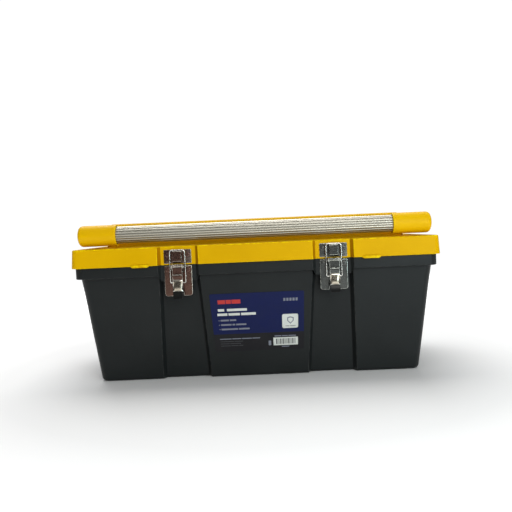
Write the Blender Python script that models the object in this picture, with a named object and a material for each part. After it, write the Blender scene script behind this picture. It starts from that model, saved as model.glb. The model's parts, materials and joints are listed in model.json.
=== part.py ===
"""A 24 inch plastic toolbox with a lift-out tray, a folding handle and two draw latches.

Metres, +Z up, the front faces -Y. The origin is on the floor under the middle of the whole toolbox.
Every shape below is written about the tub's centre line, and the empty "toolbox" carries them all.
"""

from math import cos, pi, radians, sin

import bmesh
import bpy
from mathutils import Matrix, Vector

GAP = 0.0003  # between pieces that touch

# Lid, over its lower edge
LID_HALF_X = 0.300
LID_HALF_Y = 0.142
LID_WALL = 0.003
SEAM_Z = 0.191
SHELF_Z = 0.2215
SKIRT_DRAFT = 0.0018
LID_CORNER = 0.012
TAB_X = 0.187  # finger tabs under the front edge
TAB_HALF_X = 0.015

# Hump along the middle of the lid
HUMP_TOP_Z = 0.262
HUMP_HALF_X = 0.258
HUMP_HALF_Y = 0.077
HUMP_DRAFT = 0.0035
HUMP_ROUND = 0.008
HUMP_CORNER = 0.020

# Tub
TUB_WALL = 0.003
TUB_FOOT_HALF_X = 0.2655
TUB_FOOT_HALF_Y = 0.119
TUB_HALF_X = 0.289
TUB_HALF_Y = 0.1283
TUB_CORNER = 0.014
FOOT_ROUND = 0.006
FLANGE_Z = 0.173
FLANGE_HALF_X = 0.2953
FLANGE_HALF_Y = 0.1383
RIM_HALF_X = 0.2947
RIM_HALF_Y = 0.1372
RIM_WALL = 0.0024
RIM_TOP_Z = 0.1987
LEDGE_Z = 0.176
FLANGE_EDGE = 0.001  # bevel along the flange's lower edge
TUB_NOTCH_GROW = 0.0018  # a recess is this much wider each way on the inner side of a wall
RIM_NOTCH_GROW = 0.0015
RIM_INNER_GROW = 0.0028
RIM_BACK = 0.0045  # the rim stands this far behind the face of a recess

# Latch recesses: the same two in the lid, the flange and the tub
RECESS_DEPTH = 0.009
RECESS_RUN = 0.0048  # how far each splayed side runs along X
RECESS_IN = 0.0925
RECESS_OUT = 0.159
RECESS_FOOT_IN = 0.080
RECESS_FOOT_OUT = 0.161
RECESS_FACE_Y = -0.133
PAD_DROP = 0.008  # the flange reaches lower inside a recess

# Rear hinges
HINGE_X = 0.185
HINGE_Y = 0.1485
HINGE_Z = 0.190
KNUCKLE_R = 0.005
HINGE_PIN_R = 0.0019
HINGE_BORE_R = 0.0023

# Handle
HANDLE_Z = 0.243
HANDLE_Y = -0.117
HANDLE_HALF_X = 0.289
CAP_R = 0.01725
CAP_MOUTH_X = 0.226
CAP_BORE_R = 0.0144
CAP_BORE_X = 0.2655
BAR_R = 0.014
BAR_WALL = 0.002
BAR_HALF_X = 0.263
BAR_FLUTES = 20
FLUTE_DEPTH = 0.0007
ARM_INNER_X = 0.263
ARM_OUTER_X = 0.2825
ARM_R = 0.012
PIVOT_R = 0.013
HANDLE_PIN_R = 0.0035
HANDLE_BORE_R = 0.0039

# Latches
LATCH_X = 0.1265
PLATE_T = 0.0012
PLATE_HALF_X = 0.0225
STRIKE_LOW_Z = 0.193
STRIKE_TOP_Z = 0.2157
TONGUE_HALF_X = 0.007
TONGUE_TOP_Z = 0.2135
TONGUE_FRONT_Y = -0.1415
BASE_LOW_Z = 0.140
BASE_TOP_Z = 0.189
LEVER_Y = -0.1415
LEVER_Z = 0.188
LEVER_HALF_X = 0.008
LEVER_PIN_R = 0.0015
LEVER_BORE_R = 0.0018
BAIL_Y = 0.0033  # the bail's lower ends, measured from the lever's pin
BAIL_Z = -0.026
BAIL_HALF_X = 0.01225
WIRE_R = 0.0011
RIVET_X = 0.0165
STRIKE_RIVET_Z = 0.207
BASE_RIVET_Z = 0.1825
RIVET_R = 0.002
RIVET_BORE_R = 0.0023

# Tray
TRAY_WALL = 0.0022
TRAY_FLOOR_Z = 0.132
TRAY_RIM_TOP_Z = 0.183
TRAY_GRIP_Z = 0.228

# Label on the middle panel
LABEL_LOW_Z = 0.0431
LABEL_HIGH_Z = 0.1395
LABEL_T = 0.0004

REAR_REACH = HINGE_Y + KNUCKLE_R
FRONT_REACH = 0.010 - LEVER_Y
SHIFT_Y = (FRONT_REACH - REAR_REACH) / 2


# ---------------------------------------------------------------- scene and materials


def clear_scene():
    for item in list(bpy.data.objects):
        bpy.data.objects.remove(item, do_unlink=True)


def material(name, colour, roughness, metallic=0.0):
    made = bpy.data.materials.new(name)
    made.use_nodes = True
    shader = made.node_tree.nodes["Principled BSDF"]
    shader.inputs["Base Color"].default_value = (*colour, 1.0)
    shader.inputs["Roughness"].default_value = roughness
    shader.inputs["Metallic"].default_value = metallic
    return made


def add(name, bm, look, origin=(0, 0, 0)):
    """An object of the mesh, with its origin at the given point and its shape unmoved."""
    bmesh.ops.recalc_face_normals(bm, faces=bm.faces)
    bm.transform(Matrix.Translation(-Vector(origin)))
    mesh = bpy.data.meshes.new(name)
    bm.to_mesh(mesh)
    bm.free()
    mesh.materials.append(look)
    mesh.shade_smooth()
    mesh.set_sharp_from_angle(angle=radians(32))
    item = bpy.data.objects.new(name, mesh)
    item.location = origin
    item.parent = toolbox
    bpy.context.scene.collection.objects.link(item)
    return item


def guide(name, bm):
    """A shape that only cuts or extends another one."""
    item = add(name, bm, guide_look)
    item.hide_render = True
    item.display_type = "WIRE"
    return item


def combine(item, operation, name, bm):
    step = item.modifiers.new(name, "BOOLEAN")
    step.operation = operation
    step.solver = "EXACT"
    step.object = guide(name, bm)


# ---------------------------------------------------------------- shapes


def arc(centre, radius, start, end, steps):
    """Points on an arc in a plane, angles in degrees."""
    turns = [radians(start + (end - start) * i / steps) for i in range(steps + 1)]
    return [(centre[0] + radius * cos(t), centre[1] + radius * sin(t)) for t in turns]


def outline(half_x, half_y, radius, notch_in, notch_out, depth):
    """A rounded rectangle with two recesses in its front edge, as (x, y, inside a recess)."""
    x, y = half_x - radius, half_y - radius
    points = [(*p, False) for p in arc((-x, -y), radius, 180, 270, 5)]
    for side in (-1, 1):
        steps = [
            (notch_out, 0, False),
            (notch_out - RECESS_RUN, depth, True),
            (notch_in + RECESS_RUN, depth, True),
            (notch_in, 0, False),
        ]
        for at, inward, inside in steps[::-side]:
            points.append((side * at, -half_y + inward, inside))
    points += [(*p, False) for p in arc((x, -y), radius, 270, 360, 5)]
    points += [(*p, False) for p in arc((x, y), radius, 0, 90, 5)]
    points += [(*p, False) for p in arc((-x, y), radius, 90, 180, 5)]
    return points


def ring(z, shape, drop=0.0):
    return [(x, y, z - drop if inside else z) for x, y, inside in shape]


def loft(rings):
    """A closed skin through rings of the same number of points, with a flat cap at each end."""
    bm = bmesh.new()
    rows = [[bm.verts.new(p) for p in points] for points in rings]
    for low, high in zip(rows, rows[1:]):
        for i in range(len(low)):
            j = (i + 1) % len(low)
            bm.faces.new((low[i], low[j], high[j], high[i]))
    bm.faces.new(rows[0])
    bm.faces.new(rows[-1])
    return bm


def box(low, high):
    (x0, y0, z0), (x1, y1, z1) = low, high
    corners = [(x0, y0), (x1, y0), (x1, y1), (x0, y1)]
    return loft([[(x, y, z) for x, y in corners] for z in (z0, z1)])


def across_x(shape, x0, x1):
    """A flat (y, z) shape, made thick along X."""
    return loft([[(x, y, z) for y, z in shape] for x in (x0, x1)])


def across_y(shape, y0, y1):
    """A flat (x, z) shape, made thick along Y."""
    return loft([[(x, y, z) for x, z in shape] for y in (y0, y1)])


def turned_x(profile, y, z, segments):
    """A solid turned about a line along X, from (x, radius) pairs."""
    angles = [2 * pi * i / segments for i in range(segments)]
    return loft([[(x, y + r * cos(a), z + r * sin(a)) for a in angles] for x, r in profile])


def turned_y(profile, x, z, segments):
    """A solid turned about a line along Y, from (y, radius) pairs."""
    angles = [2 * pi * i / segments for i in range(segments)]
    return loft([[(x + r * cos(a), y, z + r * sin(a)) for a in angles] for y, r in profile])


def rod_x(x0, x1, y, z, radius, segments=16):
    return turned_x([(x0, radius), (x1, radius)], y, z, segments)


def rod_y(y0, y1, x, z, radius, segments=12):
    return turned_y([(y0, radius), (y1, radius)], x, z, segments)


def wire(points, radius, sides):
    """A round wire along a line of points, with flat ends."""
    points = [Vector(p) for p in points]
    rings = []
    for i, point in enumerate(points):
        ahead = points[min(i + 1, len(points) - 1)]
        behind = points[max(i - 1, 0)]
        along = (ahead - behind).normalized()
        side = along.cross(Vector((0, 1, 0))).normalized()
        up = side.cross(along)
        angles = [2 * pi * k / sides for k in range(sides)]
        rings.append([point + radius * (cos(a) * side + sin(a) * up) for a in angles])
    return loft(rings)


# ---------------------------------------------------------------- tub


def share(z):
    """How far up the tub's drafted wall a height is."""
    return z / FLANGE_Z


def between(low, high, z):
    return low + (high - low) * share(z)


def wall_outline(z, inset=0.0, notch_grow=0.0):
    """The tub's wall at a height, drawn in by an inset."""
    return outline(
        between(TUB_FOOT_HALF_X, TUB_HALF_X, z) - inset,
        between(TUB_FOOT_HALF_Y, TUB_HALF_Y, z) - inset,
        TUB_CORNER - min(inset, 0.008),
        between(RECESS_FOOT_IN, RECESS_IN, z) - notch_grow,
        between(RECESS_FOOT_OUT, RECESS_OUT, z) + notch_grow,
        RECESS_DEPTH,
    )


def rim_outline(half_x, half_y, face_y, notch_grow=0.0):
    """An outline whose recesses reach back to a given plane."""
    return outline(
        half_x,
        half_y,
        TUB_CORNER,
        RECESS_IN - notch_grow,
        RECESS_OUT + notch_grow,
        face_y + half_y,
    )


def tub_rings():
    """The tub's skin: up the outside, over the rim, down the inside to the floor."""
    rings = []
    for angle in (0, 30, 60, 90):
        z = FOOT_ROUND * (1 - cos(radians(angle)))
        rings.append(ring(z, wall_outline(z, FOOT_ROUND * (1 - sin(radians(angle))))))
    top = SEAM_Z - GAP
    edge_x, edge_y = FLANGE_HALF_X - FLANGE_EDGE, FLANGE_HALF_Y - FLANGE_EDGE
    flange = rim_outline(FLANGE_HALF_X, FLANGE_HALF_Y, RECESS_FACE_Y)
    rings.append(ring(FLANGE_Z - 0.0015, wall_outline(FLANGE_Z), PAD_DROP))
    rings.append(ring(FLANGE_Z, rim_outline(edge_x, edge_y, RECESS_FACE_Y), PAD_DROP))
    rings.append(ring(FLANGE_Z + FLANGE_EDGE, flange, PAD_DROP))
    rings.append(ring(top, flange))

    back = RECESS_FACE_Y + RIM_BACK
    in_x, in_y = RIM_HALF_X - RIM_WALL, RIM_HALF_Y - RIM_WALL
    outer = rim_outline(RIM_HALF_X, RIM_HALF_Y, back, RIM_NOTCH_GROW)
    inner = rim_outline(in_x, in_y, back + RIM_WALL, RIM_INNER_GROW)
    rings.append(ring(top, outer))
    rings.append(ring(RIM_TOP_Z, outer))
    rings.append(ring(RIM_TOP_Z, inner))
    rings.append(ring(LEDGE_Z, inner, PAD_DROP))

    steps = [(LEDGE_Z, LEDGE_Z - 0.0005, 0.0, PAD_DROP)]
    steps += [(TUB_WALL + FOOT_ROUND, TUB_WALL + FOOT_ROUND, 0.0, 0.0)]
    steps += [(TUB_WALL, TUB_WALL + 0.0015, 0.0015, 0.0), (TUB_WALL, TUB_WALL, 0.005, 0.0)]
    for height, z, inset, drop in steps:
        rings.append(ring(z, wall_outline(height, TUB_WALL + inset, TUB_NOTCH_GROW), drop))
    return rings


def knuckle(x0, x1, web_low, web_high, wall_y):
    """A hinge knuckle with the web that joins it to a wall in front of it."""
    web = [(wall_y, web_low), (HINGE_Y, web_low), (HINGE_Y, web_high), (wall_y, web_high)]
    rod = rod_x(x0, x1, HINGE_Y, HINGE_Z, KNUCKLE_R)
    return rod, across_x(web, x0 + 0.0002, x1 - 0.0002)


def add_knuckles(item, spans, web_low, web_high, wall_y):
    """Knuckles for both hinges, with one bore through each hinge's knuckles."""
    for side in (-1, 1):
        middle = side * HINGE_X
        for k, (x0, x1) in enumerate(spans):
            name = f"{item.name}_knuckle_{side}_{k}"
            rod, web = knuckle(middle + x0, middle + x1, web_low, web_high, wall_y)
            combine(item, "UNION", name, rod)
            combine(item, "UNION", name + "_web", web)
        bore = rod_x(middle - 0.030, middle + 0.030, HINGE_Y, HINGE_Z, HINGE_BORE_R, 12)
        combine(item, "DIFFERENCE", f"{item.name}_hinge_bore_{side}", bore)


def rivet_places():
    for side, word in ((-1, "left"), (1, "right")):
        for place, mark in ((-1, "a"), (1, "b")):
            yield f"{word}_{mark}", side * LATCH_X + place * RIVET_X


def make_tub():
    tub = add("body_tub", loft(tub_rings()), charcoal)
    web_low, web_high = HINGE_Z - KNUCKLE_R + 0.0002, HINGE_Z - 0.0002
    add_knuckles(tub, [(-0.025, -0.011), (0.011, 0.025)], web_low, web_high, 0.137)
    for name, x in rivet_places():
        hole = rod_y(-0.140, -0.120, x, BASE_RIVET_Z, RIVET_BORE_R)
        combine(tub, "DIFFERENCE", f"tub_rivet_hole_{name}", hole)


# ---------------------------------------------------------------- lid


def skirt_outline(inset, face_y):
    """The lid's skirt drawn in by an inset, with its recesses reaching back to a plane."""
    half_y = LID_HALF_Y - inset
    grow = 0.0 if face_y == RECESS_FACE_Y else TUB_NOTCH_GROW
    return outline(
        LID_HALF_X - inset,
        half_y,
        LID_CORNER - min(inset, 0.006),
        RECESS_IN - grow,
        RECESS_OUT + grow,
        half_y + face_y,
    )


def hump_outline(inset):
    return outline(
        HUMP_HALF_X - inset,
        HUMP_HALF_Y - inset,
        HUMP_CORNER - min(inset, 0.012),
        RECESS_IN,
        RECESS_OUT,
        0.0,
    )


def lid_rings():
    round_z = HUMP_TOP_Z - HUMP_ROUND
    rings = []
    for a in (90, 60, 30, 0):
        inset = HUMP_DRAFT + HUMP_ROUND * (1 - cos(radians(a)))
        rings.append(ring(round_z + HUMP_ROUND * sin(radians(a)), hump_outline(inset)))
    rings.append(ring(SHELF_Z, hump_outline(0)))
    edge = SKIRT_DRAFT
    rings.append(ring(SHELF_Z, skirt_outline(edge + 0.0025, RECESS_FACE_Y + 0.0015)))
    rings.append(ring(SHELF_Z - 0.0007, skirt_outline(edge + 0.0007, RECESS_FACE_Y + 0.0005)))
    rings.append(ring(SHELF_Z - 0.0025, skirt_outline(edge, RECESS_FACE_Y)))
    rings.append(ring(SEAM_Z, skirt_outline(0, RECESS_FACE_Y)))
    inside = RECESS_FACE_Y + LID_WALL
    rib = inside + 0.0035
    rings.append(ring(SEAM_Z, skirt_outline(LID_WALL, inside)))
    rings.append(ring(RIM_TOP_Z + GAP, skirt_outline(LID_WALL + 0.0005, inside)))
    rings.append(ring(RIM_TOP_Z + GAP, skirt_outline(LID_WALL + 0.004, rib)))
    rings.append(ring(RIM_TOP_Z + 0.0028, skirt_outline(LID_WALL + 0.004, rib)))
    rings.append(ring(RIM_TOP_Z + 0.0028, skirt_outline(LID_WALL + 0.0007, inside)))
    ceiling = SHELF_Z - LID_WALL
    rings.append(ring(ceiling, skirt_outline(LID_WALL + edge, inside)))
    rings.append(ring(ceiling, hump_outline(LID_WALL)))
    rings.append(ring(round_z, hump_outline(HUMP_DRAFT + LID_WALL)))
    rings.append(ring(HUMP_TOP_Z - LID_WALL - 0.0015, hump_outline(HUMP_DRAFT + LID_WALL + 0.0015)))
    rings.append(ring(HUMP_TOP_Z - LID_WALL, hump_outline(HUMP_DRAFT + LID_WALL + 0.005)))
    return rings


def make_lid():
    lid = add("lid_shell", loft(lid_rings()), yellow, (0, HINGE_Y, HINGE_Z))
    for side in (-1, 1):
        tab_low = (side * TAB_X - TAB_HALF_X, -0.1448, SEAM_Z - 0.0025)
        tab_high = (side * TAB_X + TAB_HALF_X, -0.1395, SEAM_Z + 0.004)
        combine(lid, "UNION", f"lid_finger_tab_{side}", box(tab_low, tab_high))
        boss = rod_x(side * (HUMP_HALF_X - 0.0045), side * (ARM_INNER_X - GAP), 0, HANDLE_Z, 0.011, 20)
        combine(lid, "UNION", f"lid_boss_{side}", boss)
        bore = rod_x(side * 0.241, side * 0.271, 0, HANDLE_Z, HANDLE_BORE_R, 12)
        combine(lid, "DIFFERENCE", f"lid_pivot_bore_{side}", bore)
    add_knuckles(lid, [(-0.0105, 0.0105)], SEAM_Z + 0.0007, SEAM_Z + 0.0038, 0.1405)
    for name, x in rivet_places():
        hole = rod_y(-0.140, -0.125, x, STRIKE_RIVET_Z, RIVET_BORE_R)
        combine(lid, "DIFFERENCE", f"lid_rivet_hole_{name}", hole)


# ---------------------------------------------------------------- hinge pins and rivets


def make_hinge_pins():
    for side, word in ((-1, "left"), (1, "right")):
        x = side * HINGE_X
        profile = [
            (x - 0.0265, HINGE_PIN_R - 0.0006),
            (x - 0.0259, HINGE_PIN_R),
            (x + 0.0259, HINGE_PIN_R),
            (x + 0.0265, HINGE_PIN_R - 0.0006),
        ]
        pin = turned_x(profile, HINGE_Y, HINGE_Z, 12)
        add(f"lid_hinge_pin_{word}", pin, steel, (x, HINGE_Y, HINGE_Z))


def rivet(x, z, tail_y):
    """A rivet from its low head at the front to its set tail behind the wall."""
    head = RECESS_FACE_Y - GAP - PLATE_T - GAP
    profile = [
        (head - 0.0006, 0.0024),
        (head - 0.0004, 0.0031),
        (head, 0.0036),
        (head, RIVET_R),
        (tail_y, RIVET_R),
        (tail_y, 0.0033),
        (tail_y + 0.001, 0.0030),
    ]
    return turned_y(profile, x, z, 12)


def make_rivets():
    for name, x in rivet_places():
        strike_tail = RECESS_FACE_Y + LID_WALL + GAP
        add(f"strike_rivet_{name}", rivet(x, STRIKE_RIVET_Z, strike_tail), steel)
        base_tail = RECESS_FACE_Y + RIM_BACK + RIM_WALL + GAP
        add(f"base_rivet_{name}", rivet(x, BASE_RIVET_Z, base_tail), steel)


# ---------------------------------------------------------------- latches


def plate_rivet_holes(plate, x, z):
    for side in (-1, 1):
        hole = rod_y(-0.138, -0.130, x + side * RIVET_X, z, RIVET_BORE_R)
        combine(plate, "DIFFERENCE", f"{plate.name}_hole_{side}", hole)


def make_strike(word, x):
    back = RECESS_FACE_Y - GAP
    plate_low = (x - PLATE_HALF_X, back - PLATE_T, STRIKE_LOW_Z)
    plate_high = (x + PLATE_HALF_X, back, STRIKE_TOP_Z)
    strike = add(f"latch_strike_{word}", box(plate_low, plate_high), nickel)
    inner = back - 0.0006
    strip = [
        (inner, TONGUE_TOP_Z),
        (TONGUE_FRONT_Y + 0.001, TONGUE_TOP_Z),
        (TONGUE_FRONT_Y, TONGUE_TOP_Z - 0.001),
        (TONGUE_FRONT_Y, STRIKE_LOW_Z + 0.0036),
        (-0.1390, STRIKE_LOW_Z + 0.0014),
        (inner, STRIKE_LOW_Z + 0.0006),
        (inner, STRIKE_LOW_Z + 0.0018),
        (-0.1384, STRIKE_LOW_Z + 0.0026),
        (TONGUE_FRONT_Y + 0.0012, STRIKE_LOW_Z + 0.0042),
        (TONGUE_FRONT_Y + 0.0012, TONGUE_TOP_Z - 0.0012),
        (inner, TONGUE_TOP_Z - 0.0012),
    ]
    tongue = across_x(strip, x - TONGUE_HALF_X, x + TONGUE_HALF_X)
    combine(strike, "UNION", f"tongue_{word}", tongue)
    plate_rivet_holes(strike, x, STRIKE_RIVET_Z)


def make_base(word, x):
    back = RECESS_FACE_Y - GAP
    low, corner, notch = BASE_LOW_Z, 0.004, 0.008
    shape = [(-PLATE_HALF_X, BASE_TOP_Z)]
    shape += arc((-PLATE_HALF_X + corner, low + corner), corner, 180, 270, 4)
    shape += [(-notch, low)]
    shape += arc((-notch + 0.003, low + 0.0046), 0.003, 180, 90, 3)
    shape += arc((notch - 0.003, low + 0.0046), 0.003, 90, 0, 3)
    shape += [(notch, low)]
    shape += arc((PLATE_HALF_X - corner, low + corner), corner, 270, 360, 4)
    shape += [(PLATE_HALF_X, BASE_TOP_Z)]
    plate = across_y([(x + px, z) for px, z in shape], back - PLATE_T, back)
    base = add(f"latch_base_{word}", plate, nickel)
    for side in (-1, 1):
        root = back - 0.0006
        tip = arc((LEVER_Y, LEVER_Z), 0.0043, 78, 248, 6)
        ear = [(root, LEVER_Z - 0.0107), (root, BASE_TOP_Z - 0.0007)] + tip
        inner, outer = sorted((x + side * 0.0086, x + side * 0.0098))
        combine(base, "UNION", f"ear_{word}_{side}", across_x(ear, inner, outer))
    bore = rod_x(x - 0.012, x + 0.012, LEVER_Y, LEVER_Z, LEVER_BORE_R, 12)
    combine(base, "DIFFERENCE", f"ear_bore_{word}", bore)
    plate_rivet_holes(base, x, BASE_RIVET_Z)


def make_lever_pin(word, x):
    profile = [
        (x - 0.0107, 0.0020),
        (x - 0.0105, 0.0024),
        (x - 0.0101, 0.0024),
        (x - 0.0101, LEVER_PIN_R),
        (x + 0.0101, LEVER_PIN_R),
        (x + 0.0101, 0.0024),
        (x + 0.0105, 0.0024),
        (x + 0.0107, 0.0020),
    ]
    pin = turned_x(profile, LEVER_Y, LEVER_Z, 12)
    add(f"lever_pivot_pin_{word}", pin, steel, (x, LEVER_Y, LEVER_Z))


def lever_side():
    """The lever seen from its side, measured from its pin: back edge, flared tip, front face."""
    back = [
        (0.0040, 0.0038),
        (0.0046, 0.0030),
        (0.0046, -0.0050),
        (0.0058, -0.0075),
        (0.0058, -0.0290),
    ]
    tail = [
        (0.0030, -0.0340),
        (-0.0028, -0.0375),
        (-0.0042, -0.0410),
        (-0.0056, -0.0450),
        (-0.0072, -0.0485),
    ]
    tip = [(-0.0093, -0.0515), (-0.0100, -0.0504)]
    front = [
        (-0.0083, -0.0470),
        (-0.0067, -0.0430),
        (-0.0056, -0.0395),
        (-0.0058, -0.0375),
        (-0.0062, -0.0340),
        (-0.0062, -0.0260),
        (-0.0054, -0.0225),
        (-0.0044, -0.0212),
    ]
    ledges = [
        (-0.0044, -0.0142),
        (-0.0056, -0.0136),
        (-0.0056, -0.0122),
        (-0.0044, -0.0115),
        (-0.0044, -0.0012),
        (-0.0054, -0.0006),
        (-0.0054, 0.0008),
        (-0.0044, 0.0016),
        (-0.0042, 0.0034),
        (-0.0038, 0.0038),
    ]
    return [(LEVER_Y + y, LEVER_Z + z) for y, z in back + tail + tip + front + ledges]


def make_lever(word, x):
    solid = across_x(lever_side(), x - LEVER_HALF_X, x + LEVER_HALF_X)
    lever = add(f"latch_lever_{word}", solid, nickel, (x, LEVER_Y, LEVER_Z))
    inside = LEVER_HALF_X - PLATE_T
    pocket_low = (x - inside, LEVER_Y - 0.0031, LEVER_Z - 0.038)
    pocket_high = (x + inside, LEVER_Y + 0.010, LEVER_Z + 0.008)
    combine(lever, "DIFFERENCE", f"lever_pocket_{word}", box(pocket_low, pocket_high))
    bore = rod_x(x - 0.010, x + 0.010, LEVER_Y, LEVER_Z, LEVER_BORE_R, 12)
    combine(lever, "DIFFERENCE", f"lever_bore_{word}", bore)
    bail_y, bail_z = LEVER_Y + BAIL_Y, LEVER_Z + BAIL_Z
    hole = rod_x(x - 0.010, x + 0.010, bail_y, bail_z, WIRE_R + GAP, 10)
    combine(lever, "DIFFERENCE", f"lever_bail_hole_{word}", hole)


def make_bail(word, x):
    low = LEVER_Z + BAIL_Z
    high = TONGUE_TOP_Z + GAP + WIRE_R
    foot, head = 0.002, 0.004
    half = [(0.0071, low)]
    half += arc((BAIL_HALF_X - foot, low + foot), foot, 270, 360, 3)
    half += arc((BAIL_HALF_X - head, high - head), head, 0, 90, 4)
    line = half + [(-px, z) for px, z in reversed(half)]
    low_y, high_y = LEVER_Y + BAIL_Y, -0.1385
    lean = (high_y - low_y) / (high - low)
    points = [(x + px, low_y + lean * (z - low), z) for px, z in line]
    add(f"latch_bail_{word}", wire(points, WIRE_R, 8), nickel, (x, low_y, low))


def make_latches():
    for word, x in (("left", -LATCH_X), ("right", LATCH_X)):
        make_strike(word, x)
        make_base(word, x)
        make_lever_pin(word, x)
        make_lever(word, x)
        make_bail(word, x)


# ---------------------------------------------------------------- handle


def flute_radius(step):
    """Two points on each land and two in each groove."""
    return BAR_R - (FLUTE_DEPTH if step % 4 in (2, 3) else 0)


def make_bar():
    count = BAR_FLUTES * 4
    angles = [2 * pi * i / count for i in range(count)]

    def circle(x, radius_at):
        return [
            (x, HANDLE_Y + radius_at(i) * cos(a), HANDLE_Z + radius_at(i) * sin(a))
            for i, a in enumerate(angles)
        ]

    def bore(step):
        return BAR_R - BAR_WALL

    bm = bmesh.new()
    rows = [
        [bm.verts.new(p) for p in circle(x, radius)]
        for x, radius in (
            (-BAR_HALF_X, flute_radius),
            (BAR_HALF_X, flute_radius),
            (BAR_HALF_X, bore),
            (-BAR_HALF_X, bore),
        )
    ]
    for low, high in zip(rows, rows[1:] + rows[:1]):
        for i in range(count):
            j = (i + 1) % count
            bm.faces.new((low[i], low[j], high[j], high[i]))
    add("handle_bar", bm, aluminium, (0, 0, HANDLE_Z))


def cap_profile(side):
    """The end cap from its mouth to its rounded outer end."""
    end_round = 0.010
    lip_r = CAP_R + 0.0004
    lip = [(CAP_MOUTH_X, lip_r), (CAP_MOUTH_X + 0.005, lip_r), (CAP_MOUTH_X + 0.008, CAP_R)]
    rounded = arc((HANDLE_HALF_X - end_round, CAP_R - end_round), end_round, 90, 0, 5)
    return [(side * x, r) for x, r in lip + rounded]


def arm_side():
    """The arm seen from its end: a bar with a round at the cap and a round at the pivot."""
    near = arc((HANDLE_Y, HANDLE_Z), ARM_R, 90, 270, 8)
    far = arc((0, HANDLE_Z), PIVOT_R, -90, 90, 8)
    return near + far


def make_arm(word, side):
    cap = turned_x(cap_profile(side), HANDLE_Y, HANDLE_Z, 28)
    arm = add(f"handle_arm_{word}", cap, yellow, (0, 0, HANDLE_Z))
    strip = across_x(arm_side(), side * ARM_INNER_X, side * ARM_OUTER_X)
    combine(arm, "UNION", f"arm_{word}", strip)
    mouth, end = side * (CAP_MOUTH_X - 0.002), side * CAP_BORE_X
    socket = rod_x(mouth, end, HANDLE_Y, HANDLE_Z, CAP_BORE_R, 28)
    combine(arm, "DIFFERENCE", f"cap_bore_{word}", socket)
    bore = rod_x(side * 0.255, side * 0.295, 0, HANDLE_Z, HANDLE_BORE_R, 12)
    combine(arm, "DIFFERENCE", f"arm_bore_{word}", bore)


def make_handle_pin(word, side):
    """Head outside the arm, shank through the arm and the hump's end wall, clip inside it."""
    clip = HUMP_HALF_X - HUMP_DRAFT - LID_WALL - GAP
    profile = [
        (ARM_OUTER_X + 0.0020, 0.0050),
        (ARM_OUTER_X + 0.0013, 0.0064),
        (ARM_OUTER_X + GAP, 0.0064),
        (ARM_OUTER_X + GAP, HANDLE_PIN_R),
        (clip, HANDLE_PIN_R),
        (clip, 0.0055),
        (clip - 0.0015, 0.0055),
    ]
    pin = turned_x([(side * x, r) for x, r in profile], 0, HANDLE_Z, 14)
    add(f"handle_pivot_pin_{word}", pin, steel, (0, 0, HANDLE_Z))


def make_handle():
    make_bar()
    for word, side in (("left", -1), ("right", 1)):
        make_arm(word, side)
        make_handle_pin(word, side)


# ---------------------------------------------------------------- tray


def tray_rings():
    rest_z = LEDGE_Z + GAP
    rim_x, rim_y = 0.2906, 0.1330
    rim_face = -0.1222

    def wall(z, inset):
        return wall_outline(z, TUB_WALL + 0.003 + inset, 0.004)

    def rim(inset):
        return rim_outline(rim_x - inset, rim_y - inset, rim_face + inset, 0.006)

    return [
        ring(TRAY_FLOOR_Z, wall(TRAY_FLOOR_Z, 0.008)),
        ring(TRAY_FLOOR_Z + 0.002, wall(TRAY_FLOOR_Z, 0.005)),
        ring(rest_z, wall(rest_z, 0)),
        ring(rest_z, rim(0.0)),
        ring(TRAY_RIM_TOP_Z, rim(0.0)),
        ring(TRAY_RIM_TOP_Z, rim(TRAY_WALL)),
        ring(rest_z + TRAY_WALL, rim(TRAY_WALL)),
        ring(rest_z + TRAY_WALL, wall(rest_z, TRAY_WALL)),
        ring(TRAY_FLOOR_Z + 0.004, wall(TRAY_FLOOR_Z, 0.005 + TRAY_WALL)),
        ring(TRAY_FLOOR_Z + TRAY_WALL, wall(TRAY_FLOOR_Z, 0.008 + TRAY_WALL)),
    ]


def tray_spine():
    """The wall along the tray's middle, which rises to the carry handle."""
    low, shoulder, top = TRAY_FLOOR_Z + 0.001, LEDGE_Z - 0.002, TRAY_GRIP_Z
    foot_x = between(TUB_FOOT_HALF_X, TUB_HALF_X, low) - 0.012
    end_x = between(TUB_FOOT_HALF_X, TUB_HALF_X, shoulder) - 0.0073
    right = [(foot_x, low), (end_x, shoulder), (0.105, shoulder), (0.072, top)]
    return right + [(-x, z) for x, z in reversed(right)]


def make_tray():
    tray = add("tote_tray", loft(tray_rings()), charcoal)
    combine(tray, "UNION", "tray_spine", across_y(tray_spine(), -0.0015, 0.0015))
    grip_shape = [(-0.078, 0.006), (-0.072, 0.008), (0.072, 0.008), (0.078, 0.006)]
    grip = turned_x(grip_shape, 0, TRAY_GRIP_Z - 0.001, 16)
    combine(tray, "UNION", "tray_grip", grip)
    left, right, slot_z, slot_r = -0.048, 0.048, TRAY_GRIP_Z - 0.029, 0.012
    slot = arc((left, slot_z), slot_r, 90, 270, 6) + arc((right, slot_z), slot_r, -90, 90, 6)
    combine(tray, "DIFFERENCE", "tray_slot", across_y(slot, -0.010, 0.010))
    wall_y = between(TUB_FOOT_HALF_Y, TUB_HALF_Y, TRAY_FLOOR_Z) - 0.0125
    front_y, rear_y = RECESS_DEPTH - wall_y, wall_y
    dividers = [(-0.150, front_y, 0), (0.090, front_y, 0), (-0.060, 0, rear_y), (0.160, 0, rear_y)]
    for number, (x, y0, y1) in enumerate(dividers):
        low, high = TRAY_FLOOR_Z + 0.001, LEDGE_Z - 0.010
        divider = box((x - 0.001, y0, low), (x + 0.001, y1, high))
        combine(tray, "UNION", f"tray_divider_{number}", divider)


# ---------------------------------------------------------------- label


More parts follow.
